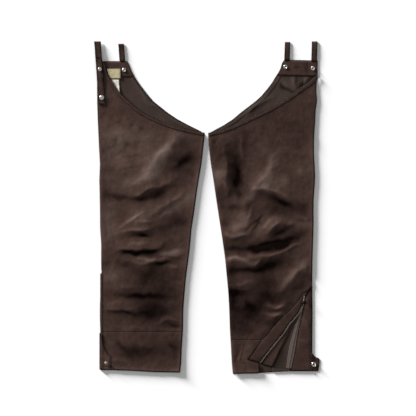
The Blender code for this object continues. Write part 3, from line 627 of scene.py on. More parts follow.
# where the fronts are dark with wax and painted shade (-), and pale with rubbing and painted highlight (+)
FRONT_PATCHES = {
    "left": [
        # thigh: paler over the hip as painted light, with one long painted highlight on a fold and painted
        # shade inside it
        Patch(-310, 190, 46, 70, 0, 0.3), Patch(-220, 200, 90, 60, 20, 0.25),
        Patch(-150, 172, 76, 17, 54, 1.1), Patch(-182, 122, 40, 26, 60, 0.55),
        Patch(-232, 92, 74, 26, 20, 0.45), Patch(-280, 244, 60, 34, 0, 0.25),
        Patch(-145, 160, 56, 22, 54, 0.4), Patch(-90, 160, 60, 40, 15, -0.14),
        Patch(-66, 160, 44, 24, 20, -0.7), Patch(-98, 140, 34, 18, 40, -0.5),
        Patch(-272, 270, 24, 9, -25, -0.2), Patch(-215, 258, 20, 9, -25, -0.2),
        Patch(-300, 218, 20, 9, -25, -0.25), Patch(-256, 206, 18, 8, -25, -0.2),
        Patch(-250, 170, 40, 6, 15, -0.2), Patch(-285, 185, 24, 6, 40, -0.2),
        Patch(-270, 128, 40, 7, 10, -0.2),
        # above the knee
        Patch(-290, 32, 50, 10, -6, -0.6), Patch(-214, 30, 34, 13, 6, -0.75),
        Patch(-160, 46, 38, 17, 22, -0.75), Patch(-104, 74, 44, 12, 12, -0.3),
        Patch(-75, 22, 56, 18, 46, 0.6), Patch(-130, -12, 34, 9, 30, 0.5),
        Patch(-222, -30, 52, 22, 34, 0.42), Patch(-325, -60, 34, 70, 0, 0.35),
        Patch(-98, -50, 52, 26, 8, -0.6), Patch(-150, -70, 34, 20, 30, -0.45),
        Patch(-213, -90, 34, 9, 2, -0.95), Patch(-228, -117, 48, 8, 0, 0.45),
        # knee
        Patch(-246, -146, 54, 12, -4, -1.2), Patch(-186, -142, 42, 10, 8, -0.9),
        Patch(-205, -168, 44, 9, -8, 0.7), Patch(-122, -146, 42, 11, 10, 0.9),
        Patch(-270, -184, 44, 17, -15, -0.55), Patch(-112, -192, 22, 9, 0, 0.2),
        Patch(-150, -180, 42, 9, 8, -0.9), Patch(-190, -222, 70, 36, 15, -0.68),
        Patch(-96, -222, 24, 20, 0, -0.25), Patch(-180, -150, 100, 40, 0, -0.2),
        # shin and hem
        Patch(-240, -288, 88, 13, -3, -0.75), Patch(-150, -280, 70, 66, 0, -0.55),
        Patch(-318, -226, 40, 26, 0, 0.3), Patch(-306, -312, 40, 10, 0, 0.3),
        Patch(-284, -344, 56, 9, -2, -0.75), Patch(-190, -348, 70, 30, 0, -0.5),
        Patch(-100, -350, 26, 14, 0, 0.15), Patch(-104, -386, 32, 8, -8, -0.6),
        Patch(-250, -385, 60, 12, 0, -0.12), Patch(-190, -335, 110, 60, 0, -0.4),
        Patch(-180, -450, 120, 60, 0, -0.2), Patch(-264, -470, 48, 28, 0, -0.6),
        Patch(-190, -466, 60, 26, 0, -0.35), Patch(-106, -460, 44, 34, 0, -0.5),
        Patch(-200, -500, 150, 30, 0, -0.2), Patch(-330, -300, 10, 110, 0, -0.15),
    ],
    "right": [
        # thigh
        Patch(250, 300, 110, 90, 0, -0.12), Patch(108, 120, 24, 80, 0, -0.16),
        Patch(180, 90, 50, 45, 0, 0.2), Patch(250, 6, 100, 30, -5, -0.2),
        Patch(118, 228, 40, 38, 0, -0.55), Patch(56, 176, 36, 30, 0, -0.6),
        Patch(96, 126, 31, 72, 0, -0.8), Patch(104, 84, 24, 38, 0, -0.35),
        Patch(76, 50, 30, 14, 0, -0.4), Patch(36, 106, 20, 30, 0, 0.6),
        Patch(20, 205, 14, 30, 0, -0.3), Patch(86, 0, 28, 12, 0, -0.6),
        Patch(140, -2, 12, 26, 10, -0.5), Patch(206, 124, 54, 16, 70, 0.5),
        Patch(176, 66, 46, 16, 30, 0.6), Patch(240, 84, 26, 26, 0, 0.3),
        Patch(310, 160, 40, 60, 0, 0.1), Patch(270, 262, 110, 50, -24, -0.2),
        Patch(180, 210, 40, 24, 0, 0.2), Patch(130, 24, 20, 16, 30, 0.3),
        Patch(240, 22, 76, 16, -18, -0.7), Patch(230, -10, 60, 22, -10, -0.5),
        Patch(300, 12, 40, 20, -20, -0.2), Patch(36, 36, 14, 60, -12, -0.35),
        Patch(104, 42, 14, 14, 0, -0.4),
        # above the knee: one long fold in painted shade under one in painted highlight
        Patch(100, -58, 50, 16, 14, 0.65), Patch(118, -30, 20, 20, 0, 0.45),
        Patch(163, -54, 34, 9, 50, -0.85), Patch(198, -52, 48, 10, 44, 0.6),
        Patch(258, -66, 44, 15, 24, -0.75), Patch(228, -86, 30, 10, 30, -0.5),
        Patch(300, -50, 50, 9, -4, 0.3), Patch(205, -122, 84, 20, 12, -1.1),
        Patch(282, -96, 50, 16, 22, -0.7), Patch(246, -130, 50, 10, 16, -0.6),
        Patch(165, -136, 40, 12, 8, -0.9), Patch(88, -132, 46, 14, 0, -0.7),
        Patch(60, -56, 20, 14, 0, -0.4),
        # knee, calf and hem
        Patch(84, -169, 36, 9, 4, 0.9), Patch(156, -182, 26, 6, 20, 0.35),
        Patch(112, -206, 70, 18, 0, -0.7), Patch(212, -188, 60, 30, 14, -1.0),
        Patch(190, -238, 46, 32, 0, -0.6), Patch(276, -218, 70, 14, 46, 0.4),
        Patch(322, -190, 20, 26, 0, 0.2), Patch(300, -262, 46, 20, 46, -0.7),
        Patch(100, -272, 50, 22, 8, -0.75), Patch(150, -330, 90, 80, 0, -0.3),
        Patch(80, -310, 30, 30, 0, -0.4), Patch(146, -334, 56, 34, 0, -0.6),
        Patch(112, -386, 60, 44, 0, -0.6), Patch(204, -290, 60, 40, 0, -0.7),
        Patch(222, -380, 44, 22, 0, -0.45), Patch(78, -260, 26, 150, 0, -0.4),
        Patch(118, -246, 40, 8, 12, 0.4), Patch(230, -322, 34, 7, 0, 0.35),
        Patch(228, -336, 26, 4, 0, -0.4), Patch(222, -348, 36, 8, -4, 0.45),
        Patch(270, -320, 30, 12, 40, -0.4), Patch(130, -500, 60, 30, 0, -0.1),
        Patch(176, -420, 40, 14, 30, -0.3),
    ],
}


def front_outer(side, y):
    """A front panel's outer edge: set in beside the closed zip, or drawn back along the open placket."""
    if side == "left":
        return np.interp(y, *np.array(LEFT_FRONT_OUTER[::-1], dtype=float).T)
    below = np.interp(y, *np.array(PLACKET_EDGE[::-1], dtype=float).T)
    return np.where(np.asarray(y) < PLACKET_EDGE[0][0], below, outer_edge(side, y))


def welt_share(side, x, y):
    """1 along a sewn side seam, and 0 beside the zips and up at the hip."""
    near_outer = np.abs(x - front_outer(side, y)) < np.abs(x - inner_edge(side, y))
    zip_top = -200 if side == "left" else -240
    return np.where(near_outer, ease(zip_top, zip_top + 30, y), 1.0) * (1 - 0.8 * ease(200, 260, y))


def front_height(side, x, y):
    """Middle of a front panel: over the back, its facings and the placket, with its crown and creases."""
    outer, inner = front_outer(side, y), inner_edge(side, y)
    share = np.clip((x - outer) / (inner - outer), 0, 1)
    edge = np.minimum(np.abs(x - outer), np.abs(x - inner))
    base = back_wave(side, x, y) + LAYER * (1 + ease(190, 235, y))
    if side == "right":
        base = base + LAYER * (1 - ease(-262, -215, y)) * (1 - ease(10, 60, np.abs(x - outer)))
    crown = HEM_CROWN + (CROWN - HEM_CROWN) * ease(-500, -250, y)
    z = base + crown * np.sin(pi * share) + SIDE_WELT * np.exp(-edge / 20.0) * welt_share(side, x, y)
    ripple = 0.7 * cockle(x, y, 46, 5.7) + 0.38 * cockle(x, y, 21, 1.9) + 0.16 * cockle(x, y, 9, 7.3)
    near_top = ease(0, 26, top_distance(side, x, y))
    lift = crease_height(FRONT_CREASES[side], x, y) + ripple
    z = z + lift * ease(0, 22, edge) * (0.25 + 0.75 * near_top)
    z = np.maximum(z, np.maximum(base, back_height(side, x, y) + LAYER))
    rolled = base - 0.35
    t = np.clip(edge / 4.5, 0, 1)
    return rolled + (z - rolled) * np.sqrt(1 - (1 - t) ** 2)


def top_distance(side, x, y):
    """About how far a place is below its front panel's top edge."""
    rows = sorted(FRONT_TOP[side])
    return np.maximum(0, np.interp(x, *np.array(rows, dtype=float).T) - y) * 0.8


for side in ("left", "right"):
    seam = [(-400, HEM_SEAM[side]), (400, HEM_SEAM[side])]
    x, y = panel_grid(side, FRONT_TOP[side], seam, FRONT_SPACING, front_outer)
    z = front_height(side, x, y)
    tuck = 1 - np.clip((y - HEM_SEAM[side]) / 4.0, 0, 1)
    front = cloth_shell(f"{side}_front_cloth", x, y, z - 0.5 * tuck ** 2, OILED_COTTON,
                        tone=wax_and_painted_light(FRONT_PATCHES[side], x, y), foot_edge_shade=0.0)
    hand_over(front, [f"{side}_front"])


# ================================================== top bands and hem bands of the fronts
# A narrow band is folded over each front's top edge and stitched down along both its sides.
# A deeper band of the same cotton is seamed to each front's foot and makes the hem.

TOP_BAND_WIDTH = 10.5
for side in ("left", "right"):
    def band_height(x, y, side=side):
        return front_height(side, x, y) + 0.95

    line, _ = rounded_line(FRONT_TOP[side], 4.0, 3)
    along = np.gradient(line, axis=0)
    along /= np.hypot(*along.T)[:, None]
    down = np.stack((along[:, 1], -along[:, 0]), axis=1) * (1 if side == "left" else -1)
    inner_line = line + down * TOP_BAND_WIDTH
    inner_line[:, 0] = np.clip(inner_line[:, 0], line[:, 0].min() + 0.5, line[:, 0].max() - 0.5)
    x, y = between(line + down * -0.6, inner_line, spacing=3.0)
    z = band_height(x, y) - 0.5 * (1 - edge_falloff(x, y, 3.0))
    band = cloth_shell(f"{side}_top_band_cloth", x, y, z, OILED_COTTON, thickness=1.0, tone=-0.1)
    hand_over(band, [f"{side}_front_top_band"])
    turn = -1 if side == "left" else 1
    sew(line, band_height, 1.8 * turn)
    sew(line, band_height, (TOP_BAND_WIDTH - 1.8) * turn)

HEM_CREASES = {
    "left": [
        Crease([(-296, -440), (-262, -470)], -1.6, 10, 12),
        Crease([(-126, -442), (-96, -470)], -1.4, 10, 12),
        Crease([(-230, -450), (-170, -462)], 0.8, 16, 12),
        Crease([(-330, -500), (-250, -508)], 0.7, 12, 10),
    ],
    "right": [
        Crease([(110, -470), (92, -506)], -1.2, 10, 12),
        Crease([(150, -478), (128, -520)], 0.8, 12, 12),
    ],
}
for side in ("left", "right"):
    def hem_height(x, y, side=side):
        lift = crease_height(HEM_CREASES[side], x, y) * ease(0, 12, side_distance(side, x, y, front_outer))
        welt = HEM_WELT * np.exp(-np.abs(y - np.interp(x, *np.array(sorted(HEM[side]), dtype=float).T)) / 24)
        return front_height(side, x, y) + 0.15 + welt + lift

    seam = HEM_SEAM[side] - 0.4
    sides = [(front_outer(side, np.array(seam)), seam), (inner_edge(side, np.array(seam)), seam)]
    head = [(float(px), py) for px, py in sides]
    x, y = panel_grid(side, head, HEM[side], FRONT_SPACING, front_outer)
    z = hem_height(x, y)
    foot_gap = np.abs(y - y[0])
    z = z - (0.9 + HEM_WELT) * (1 - np.sqrt(1 - (1 - np.clip(foot_gap / 4.0, 0, 1)) ** 2))
    z = z - 0.55 * (1 - np.clip((seam - y) / 3.0, 0, 1)) ** 2
    hem_band = cloth_shell(f"{side}_hem_band_cloth", x, y, z, OILED_COTTON,
                           tone=wax_and_painted_light(FRONT_PATCHES[side], x, y), head_edge_shade=0.5)
    hand_over(hem_band, [f"{side}_hem_band"])
    turn = -1 if side == "left" else 1
    sew(head, hem_height, 3.0 * turn)
    sew([(float(a), float(b)) for a, b in zip(x[0], y[0])], hem_height, -9.0 * turn)


# ================================================== woven label and care tag
# A blank woven label is sewn inside the left waist, and a blank soft care tag hangs from under its foot.
# Both are plain: the label is a cream ribbon weave with a darker woven border, the tag a white satin tape.

TAPE = 0.7


def ribbon_finish(name, ground, border, rib_scale, border_width):
    """A narrow woven ribbon: fine ribs across it, slight yellowing, and plain lines along its borders."""
    material, shader, nodes, links = new_finish(name, Roughness=0.78, Sheen_Weight=0.15)
    ribbon = add_node(nodes, "ShaderNodeUVMap", [("uv_map", "ribbon")])
    axes = add_node(nodes, "ShaderNodeSeparateXYZ")
    links.new(ribbon.outputs["UV"], axes.inputs[0])
    mask = None
    for axis in ("X", "Y"):
        centred = add_node(nodes, "ShaderNodeMath", [("operation", "SUBTRACT")])
        centred.inputs[1].default_value = 0.5
        links.new(axes.outputs[axis], centred.inputs[0])
        outwards = add_node(nodes, "ShaderNodeMath", [("operation", "ABSOLUTE")])
        links.new(centred.outputs[0], outwards.inputs[0])
        line = add_node(nodes, "ShaderNodeMath", [("operation", "COMPARE")])
        line.inputs[1].default_value = 0.5 - 2.2 * border_width
        line.inputs[2].default_value = 0.5 * border_width
        links.new(outwards.outputs[0], line.inputs[0])
        if mask is None:
            mask = line
        else:
            both = add_node(nodes, "ShaderNodeMath", [("operation", "MAXIMUM")])
            links.new(mask.outputs[0], both.inputs[0])
            links.new(line.outputs[0], both.inputs[1])
            mask = both
    place = add_node(nodes, "ShaderNodeTexCoord")
    age = add_node(nodes, "ShaderNodeTexNoise", Scale=60.0, Detail=4.0)
    links.new(place.outputs["Object"], age.inputs["Vector"])
    yellowed = [0.80 * c for c in ground]
    clean = [min(1.0, 1.12 * c) for c in ground]
    aged = two_tone(nodes, links, yellowed, clean, age.outputs["Fac"])
    lined = add_node(nodes, "ShaderNodeMix", [("data_type", "RGBA")])
    lined.inputs[7].default_value = (*border, 1)
    links.new(mask.outputs[0], lined.inputs[0])
    links.new(aged, lined.inputs[6])
    links.new(lined.outputs[2], shader.inputs["Base Color"])
    ribs = add_node(nodes, "ShaderNodeTexWave", [("bands_direction", "Y")], Scale=rib_scale, Distortion=0.3)
    links.new(ribbon.outputs["UV"], ribs.inputs["Vector"])
    bump = add_node(nodes, "ShaderNodeBump", Strength=0.5, Distance=0.0002)
    links.new(ribs.outputs["Fac"], bump.inputs["Height"])
    links.new(bump.outputs["Normal"], shader.inputs["Normal"])
    return material


def ribbon_map(piece, rows, columns):
    """Give a strip a second UV map that runs from 0 to 1 along its rows and its columns."""
    mesh = piece.data
    v, u = np.meshgrid(np.linspace(0, 1, rows), np.linspace(0, 1, columns), indexing="ij")
    flat = np.stack((u.ravel(), v.ravel()), axis=1).astype(np.float32)
    order = np.empty(len(mesh.loops), dtype=np.int32)
    mesh.loops.foreach_get("vertex_index", order)
    mesh.uv_layers.new(name="ribbon").uv.foreach_set("vector", flat[order].ravel())


WOVEN_LABEL = ribbon_finish("Cream woven label", (0.44, 0.38, 0.22), (0.25, 0.20, 0.10), 18.0, 0.045)
CARE_TAPE = ribbon_finish("White satin tape", (0.80, 0.75, 0.64), (0.66, 0.60, 0.48), 30.0, 0.03)


def label_height(x, y):
    """Over the waist facing, a little puckered where the label is sewn down."""
    return back_height("left", x, y) + 2 * LAYER - 0.05 + 0.25 * (1 + cockle(x, y, 11, 4.2))


x, y = between([(-328, 455), (-284, 455)], [(-320, 424.5), (-284, 424)], spacing=2.2)
label = cloth_shell("woven_label", x, y, label_height(x, y), WOVEN_LABEL, thickness=TAPE)
ribbon_map(label, *x.shape)
hand_over(label, ["left_woven_label"])


def tag_height(x, y):
    """Hanging from the facing's foot on to the back panel, with a soft curl across it."""
    curl = 0.9 * (0.5 + 0.5 * np.cos((y - 421) / 19 * pi)) * ease(422, 412, y)
    return back_height("left", x, y) + 1.35 + curl + 0.6 * ease(401, 378, y)


x, y = between([(-314, 422), (-289, 422)], [(-306, 386), (-286.5, 378)], spacing=2.2)
tag = cloth_shell("care_tag", x, y, tag_height(x, y), CARE_TAPE, thickness=0.5)
ribbon_map(tag, *x.shape)
hand_over(tag, ["left_care_tag"])


# ================================================== left leg: closed zip, flap edge and snap tab
# The left leg's metal zip is closed along its outer edge, with its teeth in a narrow gap beside the flap.
# A shaped tab comes round from the flap below the slider, and is snapped down over it on the hem.

ZIP_TOP = -218
ZIP_FOOT = -532


def tape_finish(name, ground):
    """Twilled cotton tape of a zip, dulled by oil."""
    material, shader, nodes, links = new_finish(name, Roughness=0.7)
    place = add_node(nodes, "ShaderNodeTexCoord")
    twill = add_node(nodes, "ShaderNodeTexWave", [("bands_direction", "DIAGONAL")], Scale=700.0,
                     Distortion=0.4)
    links.new(place.outputs["Object"], twill.inputs["Vector"])
    dark, pale = [0.75 * c for c in ground], [1.2 * c for c in ground]
    tone = two_tone(nodes, links, dark, pale, twill.outputs["Fac"])
    links.new(tone, shader.inputs["Base Color"])
    bump = add_node(nodes, "ShaderNodeBump", Strength=0.4, Distance=0.0001)
    links.new(twill.outputs["Fac"], bump.inputs["Height"])
    links.new(bump.outputs["Normal"], shader.inputs["Normal"])
    return material


ZIP_TAPE = tape_finish("Brown zip tape", (0.075, 0.050, 0.043))
# the left zip's tape is darkened as painted shade of the narrow gap where it lies
SHADED_ZIP_TAPE = tape_finish("Zip tape darkened as painted shade", (0.020, 0.010, 0.008))
EDGE_TAPE = tape_finish("Dark brown zip tape", (0.045, 0.024, 0.018))
zip_teeth = []         # the line of every row of teeth, in millimetres, each set out in a later section


def edge_layer(level):
    """The height of a layer that lies that many layers above the left leg's back panel."""
    return lambda x, y: back_wave("left", x, y) + level * LAYER


x, y = between([(-348.6, ZIP_TOP), (-348.6, ZIP_FOOT)], [(-342.2, ZIP_TOP), (-342.2, ZIP_FOOT)], spacing=4.0,
               passes=0)
tape = cloth_shell("left_zip_tape", x, y, edge_layer(0.5)(x, y), SHADED_ZIP_TAPE, thickness=0.6)
hand_over(tape, ["left_zip"])
zip_teeth.append([(-345.4, float(py), 1.75) for py in np.arange(ZIP_TOP - 2, -508, -4.0)])

x, y = between([(-350.4, ZIP_TOP + 2), (-350.0, ZIP_FOOT)], [(-346.9, ZIP_TOP + 2), (-347.0, ZIP_FOOT)],
               spacing=3.0, passes=0)
z = edge_layer(2.0)(x, y) - 0.9 * (1 - edge_falloff(x, y, 1.4))
flap_edge = cloth_shell("left_storm_flap_cloth", x, y, z, OILED_COTTON, thickness=1.0, rim=0.0)
hand_over(flap_edge, ["left_storm_flap"])

LEFT_TAB = [(-412, -348), (-430, -343.5), (-447, -339.5), (-462, -335), (-473, -330), (-481, -322),
            (-486, -315.5), (-498, -314.5), (-514, -314), (-531.5, -313)]       # (y, inner x)
TAB_WRAP = -352.6      # the tab comes round the leg's outer edge here
across = np.array([0.0, 0.02, 0.07, 0.16, 0.3, 0.45, 0.6, 0.75, 0.88, 0.96, 1.0])
tab_y = np.linspace(-412, -531.5, 45)[:, None]
tab_inner = np.interp(-tab_y, *(-1 * np.array([r[0] for r in LEFT_TAB]), [r[1] for r in LEFT_TAB]))
x = TAB_WRAP + across * (tab_inner - TAB_WRAP)
y = tab_y + 0 * across
foot = 1.1 + 0 * x
lying = front_height("left", np.maximum(x, -343.0), y) + 1.5 + 1.7 * (1 - ease(-346, -338, x))
lying = lying + 0.35 * cockle(x, y, 14, 2.6)
around = np.clip((x - TAB_WRAP) / 3.4, 0, 1)
z = foot + (lying - foot) * np.sqrt(1 - (1 - around) ** 2)
z = z - 0.4 * ease(1.6, 0.0, tab_inner - x)
# a strong rim paints the shadow line along the tab's edges
tab = cloth_shell("left_snap_tab_cloth", x, y, z, OILED_COTTON, rim=1.0, edge_shade_width=3.6)
hand_over(tab, ["left_snap_tab"])
stitch_lines.append(np.stack((x, y, z + CLOTH / 2), axis=2)[2:-1, -2])


# ================================================== right leg: open zip, placket, guard and flap
# The right leg's zip is open from the hem up. The front is drawn back along its placket, with its half of
# the zip beneath the placket's edge. The storm flap lies out flat with the other half and the snap tab.

PLACKET_OUTER = [(316.5, -288), (312, -300), (306, -322), (300, -341), (286, -360), (268, -378), (249, -408),
                 (235, -426), (203, -465), (171, -507)]


def right_layer(level):
    """The height of a layer that lies that many layers above the right leg's back panel."""
    return lambda x, y: back_wave("right", x, y) + level * LAYER


inner = [(float(front_outer("right", np.array(py))) + 0.4, py) for py in np.linspace(-273, -498, 30)]
x, y = between(inner, PLACKET_OUTER, spacing=3.0)
z = right_layer(2.1)(x, y) + 0.5 * cockle(x, y, 24, 6.6)
z = z - 0.55 * (1 - edge_falloff(x, y)) - 0.35 * ease(3, 0, np.hypot(x - x[0], y - y[0]))
z = z - 0.9 * ease(-485, -512, y - 0.35 * (x - 171))      # its foot lies lower, on the hem
placket = cloth_shell("right_placket_cloth", x, y, z, OILED_COTTON, rim=0.2, edge_shade_width=1.8, tone=-0.3)
hand_over(placket, ["right_placket"])
sew(PLACKET_OUTER, right_layer(2.1), 2.4)

FRONT_HALF = [(311, -324), (303, -343), (288, -362), (272, -379), (252, -411), (238, -428), (206, -467),
              (174, -508)]
line, _ = rounded_line(FRONT_HALF, 5.0, 2)
along = np.gradient(line, axis=0)
along /= np.hypot(*along.T)[:, None]
tape_out = line + np.stack((-along[:, 1], along[:, 0]), axis=1) * 2.8
x, y = between(line + (line - tape_out) * 0.3, tape_out, spacing=3.5)
tape = cloth_shell("right_front_zip_tape", x, y, right_layer(1.95)(x, y), EDGE_TAPE, thickness=0.6,
                   rim=0.2)
hand_over(tape, ["right_zip_front_half"])
teeth_line = line + (tape_out - line) * 0.62
zip_teeth.append([(float(a), float(b), 3.75) for a, b in teeth_line])

FLAP_INNER = [(318, -300), (318, -318), (308.5, -362), (298.5, -402), (288.5, -467), (275.5, -529)]
FLAP_TEETH = [(316.5, -318), (303.5, -358), (294, -392), (281, -450), (266.5, -528)]
x, y = between([(px + 2.5, py) for px, py in FLAP_INNER[1:]],
               [(313, -330), (300, -357), (290, -385), (275, -434), (265, -484), (259.5, -529)], spacing=3.5)
tape = cloth_shell("right_flap_zip_tape", x, y, right_layer(0.85)(x, y), ZIP_TAPE, thickness=0.6)
hand_over(tape, ["right_zip_flap_half"])
line, _ = rounded_line(FLAP_TEETH, 5.0, 2)
zip_teeth.append([(float(a), float(b), 2.4) for a, b in line])

x, y = between([(296, -353), (275, -385), (266, -414), (235, -473), (213, -522)],
               [(290, -362), (272, -382), (254, -412), (239, -430), (207, -469), (178, -514)], spacing=3.5)
guard = cloth_shell("right_zip_guard_cloth", x, y, right_layer(1.0)(x, y) + 0.25 * cockle(x, y, 18, 9.1),
                    OILED_COTTON)
hand_over(guard, ["right_zip_guard"])

x, y = between([(214, -524.5), (257, -525.5), (274, -530)], [(214, -539), (240, -538), (274, -536.5)],
               spacing=3.0)
turn_up = cloth_shell("right_hem_turn_up_cloth", x, y, right_layer(1.0)(x, y), COTTON_INSIDE)
hand_over(turn_up, ["right_hem_turn_up"])

FLAP_EDGE = [(-258, 344), (-266, 340), (-274, 334), (-287, 322.5), (-297, 319.8), (-318, 318), (-362, 308.5),
             (-402, 298.5), (-467, 288.5), (-529, 275.5), (-537, 274)]            # (y, inner x)
FLAP_CREASES = [
    Crease([(330, -300), (338, -330)], 1.4, 8, 9),
    Crease([(306, -430), (338, -452)], 1.2, 12, 12),
    Crease([(312, -362), (336, -398)], 1.0, 12, 14),
    Crease([(292, -500), (330, -510)], -0.9, 10, 12),
]


def flap_height(x, y):
    """Over the back panel, rounded down at both its edges."""
    lift = crease_height(FLAP_CREASES, x, y) + 0.3 * cockle(x, y, 26, 3.9)
    near = np.minimum(np.abs(x - np.interp(y, *np.array(FLAP_EDGE[::-1], dtype=float).T)), np.abs(345.5 - x))
    t = np.clip(near / 2.5, 0, 1)
    low = right_layer(1.0)(x, y) - 0.2
    return low + (0.25 + np.maximum(lift + 0.4, 0) * ease(0, 12, near)) * np.sqrt(1 - (1 - t) ** 2)


inner = [(px, py) for py, px in FLAP_EDGE]
outer = [(345.2, -258.5), (345.0, -300), (345.2, -356), (345, -434), (344.6, -500), (344.2, -536.5)]
x, y = between(inner, outer, spacing=3.2)
# a strong rim paints a line of shade along the flap's edges
flap = cloth_shell("right_storm_flap_cloth", x, y, flap_height(x, y), OILED_COTTON, tone=-0.18,
                   rim=1.0, edge_shade_width=3.2)
hand_over(flap, ["right_storm_flap"])
sew(inner, flap_height, 3.0)
sew([(340.5, -280), (340.6, -400), (340.2, -468)], flap_height)

RIGHT_TAB = [(-478, 345.5), (-484, 349.5), (-489, 354), (-492, 360), (-494, 366), (-498, 369.5),
             (-512, 368.5), (-527, 367), (-535, 364.5)]                           # (y, outer x)
tab_y = np.linspace(-478, -537, 26)[:, None]
tab_outer = np.interp(-tab_y, *(-1 * np.array([r[0] for r in RIGHT_TAB]), [r[1] for r in RIGHT_TAB]))
x = 338.5 + across * (tab_outer - 338.5)
y = tab_y + 0 * across
over_edge = ease(351, 344, x)
z = 0.75 + over_edge * (flap_height(np.minimum(x, 343), y) + 0.75) - 0.3 * ease(2.0, 0.0, tab_outer - x)
z = np.maximum(z, CLOTH / 2 + 0.02) + 0.5 * ease(346, 356, x)
tab = cloth_shell("right_snap_tab_cloth", x, y, z, OILED_COTTON, foot_edge_shade=0.0)
hand_over(tab, ["right_snap_tab"])
stitch_lines.append(np.stack((x - 1.2, y, z + CLOTH / 2), axis=2)[1:-1, -2])


# ================================================== belt loops
# Four straps of folded cotton stand up from the waist, each doubled over at its top to take a belt.
# The longest runs down the left hip and is held there by a second snap; each is stitched along both sides.

# the layers under and over the opening are rows of (y, height of the strap's middle)
Loop = namedtuple("Loop", "foot_x top_x width foot top rests_on under over")
LOOPS = {
    "left_outer_loop": Loop(-345, -359.5, 21, 338, 545, "left_front_cloth", [(490, 2.2), (530, 2.0)],
                            [(338, 6.3), (366, 6.6), (396, 6.7), (425, 7.2), (455, 7.3), (487, 6.9),
                             (530, 4.4)]),
    "left_inner_loop": Loop(-278, -282, 18, 482, 537, "left_back_cloth", [(479, 0.8), (528, 0.6)],
                            [(479, 2.7), (506, 2.9), (528, 2.5)]),
    "right_inner_loop": Loop(262, 264, 17, 486, 543, "right_back_cloth", [(482, 0.8), (534, 0.6)],
                             [(482, 2.7), (510, 3.0), (534, 2.5)]),
    "right_outer_loop": Loop(351, 353, 18, 483, 545, "right_back_cloth", [(479, 0.8), (536, 0.6)],
                             [(479, 2.7), (510, 3.0), (536, 2.5)]),
}
for name, loop in LOOPS.items():
    bend = (loop.over[-1][1] - loop.under[-1][1]) / 2
    middle = (loop.over[-1][1] + loop.under[-1][1]) / 2
    reach = loop.top - CLOTH / 2 - loop.over[-1][0]
    fold = [(loop.over[-1][0] + reach * cos(radians(a)), middle + bend * sin(radians(a)))
            for a in range(-75, 90, 15)]
    over, _ = rounded_line(loop.over, 4.0, 2)
    path = np.array(loop.under + fold + over[::-1].tolist())
    columns = np.array([-1.0, -0.93, -0.8, -0.5, 0.0, 0.5, 0.8, 0.93, 1.0])
    y = path[:, :1] + 0 * columns
    lean = (y - loop.foot) / (loop.top - loop.foot)
    ripple = 0.35 * cockle(path[:, 0], path[:, 0] * 0, 23, loop.width)[:, None]
    x = loop.foot_x + lean * (loop.top_x - loop.foot_x) + (loop.width / 2 + ripple) * columns
    on_top = np.arange(len(path))[:, None] >= len(loop.under) + len(fold) // 2
    rounding = 0.45 * (1 - np.sqrt(1 - np.clip((np.abs(columns) - 0.8) / 0.2, 0, 1) ** 2))
    z = path[:, 1:] + np.where(on_top, -rounding, 0)
    strap = cloth_shell(f"{name}_strap", x, y, z, OILED_COTTON, thickness=1.2,
                        tone=0.5 * cockle(x, y, 24, 5.5) - 0.15, rim=0.75, edge_shade_width=4.0)
    hand_over(strap, [name])
    for column in (2, 6):
        top = slice(len(loop.under) + len(fold), None)
        stitch_lines.append(np.stack((x[top, column], y[top, column], z[top, column] + 0.6), axis=1))


# ================================================== snaps
# Every snap is pressed from nickelled brass. Its cap is a low dome over a rolled rim, and its inner side is
# a ring round an open eye, with a spring lip inside. The left tab's cap has lost its shine.

Metal = namedtuple("Metal", "name colour roughness stain")


def metal_finish(metal):
    """Plated metal: scuffed, a little uneven in gloss, with darker stains in places."""
    material, shader, nodes, links = new_finish(metal.name, Metallic=1.0)
    place = add_node(nodes, "ShaderNodeTexCoord")
    stain = add_node(nodes, "ShaderNodeTexNoise", Scale=420.0, Detail=5.0, Roughness=0.65)
    links.new(place.outputs["Object"], stain.inputs["Vector"])
    spread = add_node(nodes, "ShaderNodeMapRange", From_Min=0.3, From_Max=0.5)
    links.new(stain.outputs["Fac"], spread.inputs["Value"])
    tone = two_tone(nodes, links, metal.stain, metal.colour, spread.outputs["Result"])
    links.new(tone, shader.inputs["Base Color"])
    gloss = add_node(nodes, "ShaderNodeMapRange", From_Min=0.3, From_Max=0.7, To_Min=metal.roughness + 0.12,
                     To_Max=metal.roughness - 0.08)
    links.new(stain.outputs["Fac"], gloss.inputs["Value"])
    links.new(gloss.outputs["Result"], shader.inputs["Roughness"])
    scuff = add_node(nodes, "ShaderNodeTexNoise", Scale=2600.0, Detail=3.0)
    links.new(place.outputs["Object"], scuff.inputs["Vector"])
    bump = add_node(nodes, "ShaderNodeBump", Strength=0.25, Distance=0.00003)
    links.new(scuff.outputs["Fac"], bump.inputs["Height"])
    links.new(bump.outputs["Normal"], shader.inputs["Normal"])
    return material


NICKEL = metal_finish(Metal("Nickel plate", (0.80, 0.78, 0.74), 0.28, (0.34, 0.31, 0.27)))
DULL_NICKEL = metal_finish(Metal("Worn nickel", (0.26, 0.22, 0.20), 0.52, (0.10, 0.075, 0.06)))
AGED_BRASS = metal_finish(Metal("Aged brass", (0.46, 0.38, 0.31), 0.38, (0.16, 0.12, 0.09)))
# the sliders' brass is darkened as painted shade, where they lie in shadow
SHADED_BRASS = metal_finish(Metal("Brass darkened as painted shade", (0.12, 0.09, 0.07), 0.45, (0.05, 0.038, 0.03)))

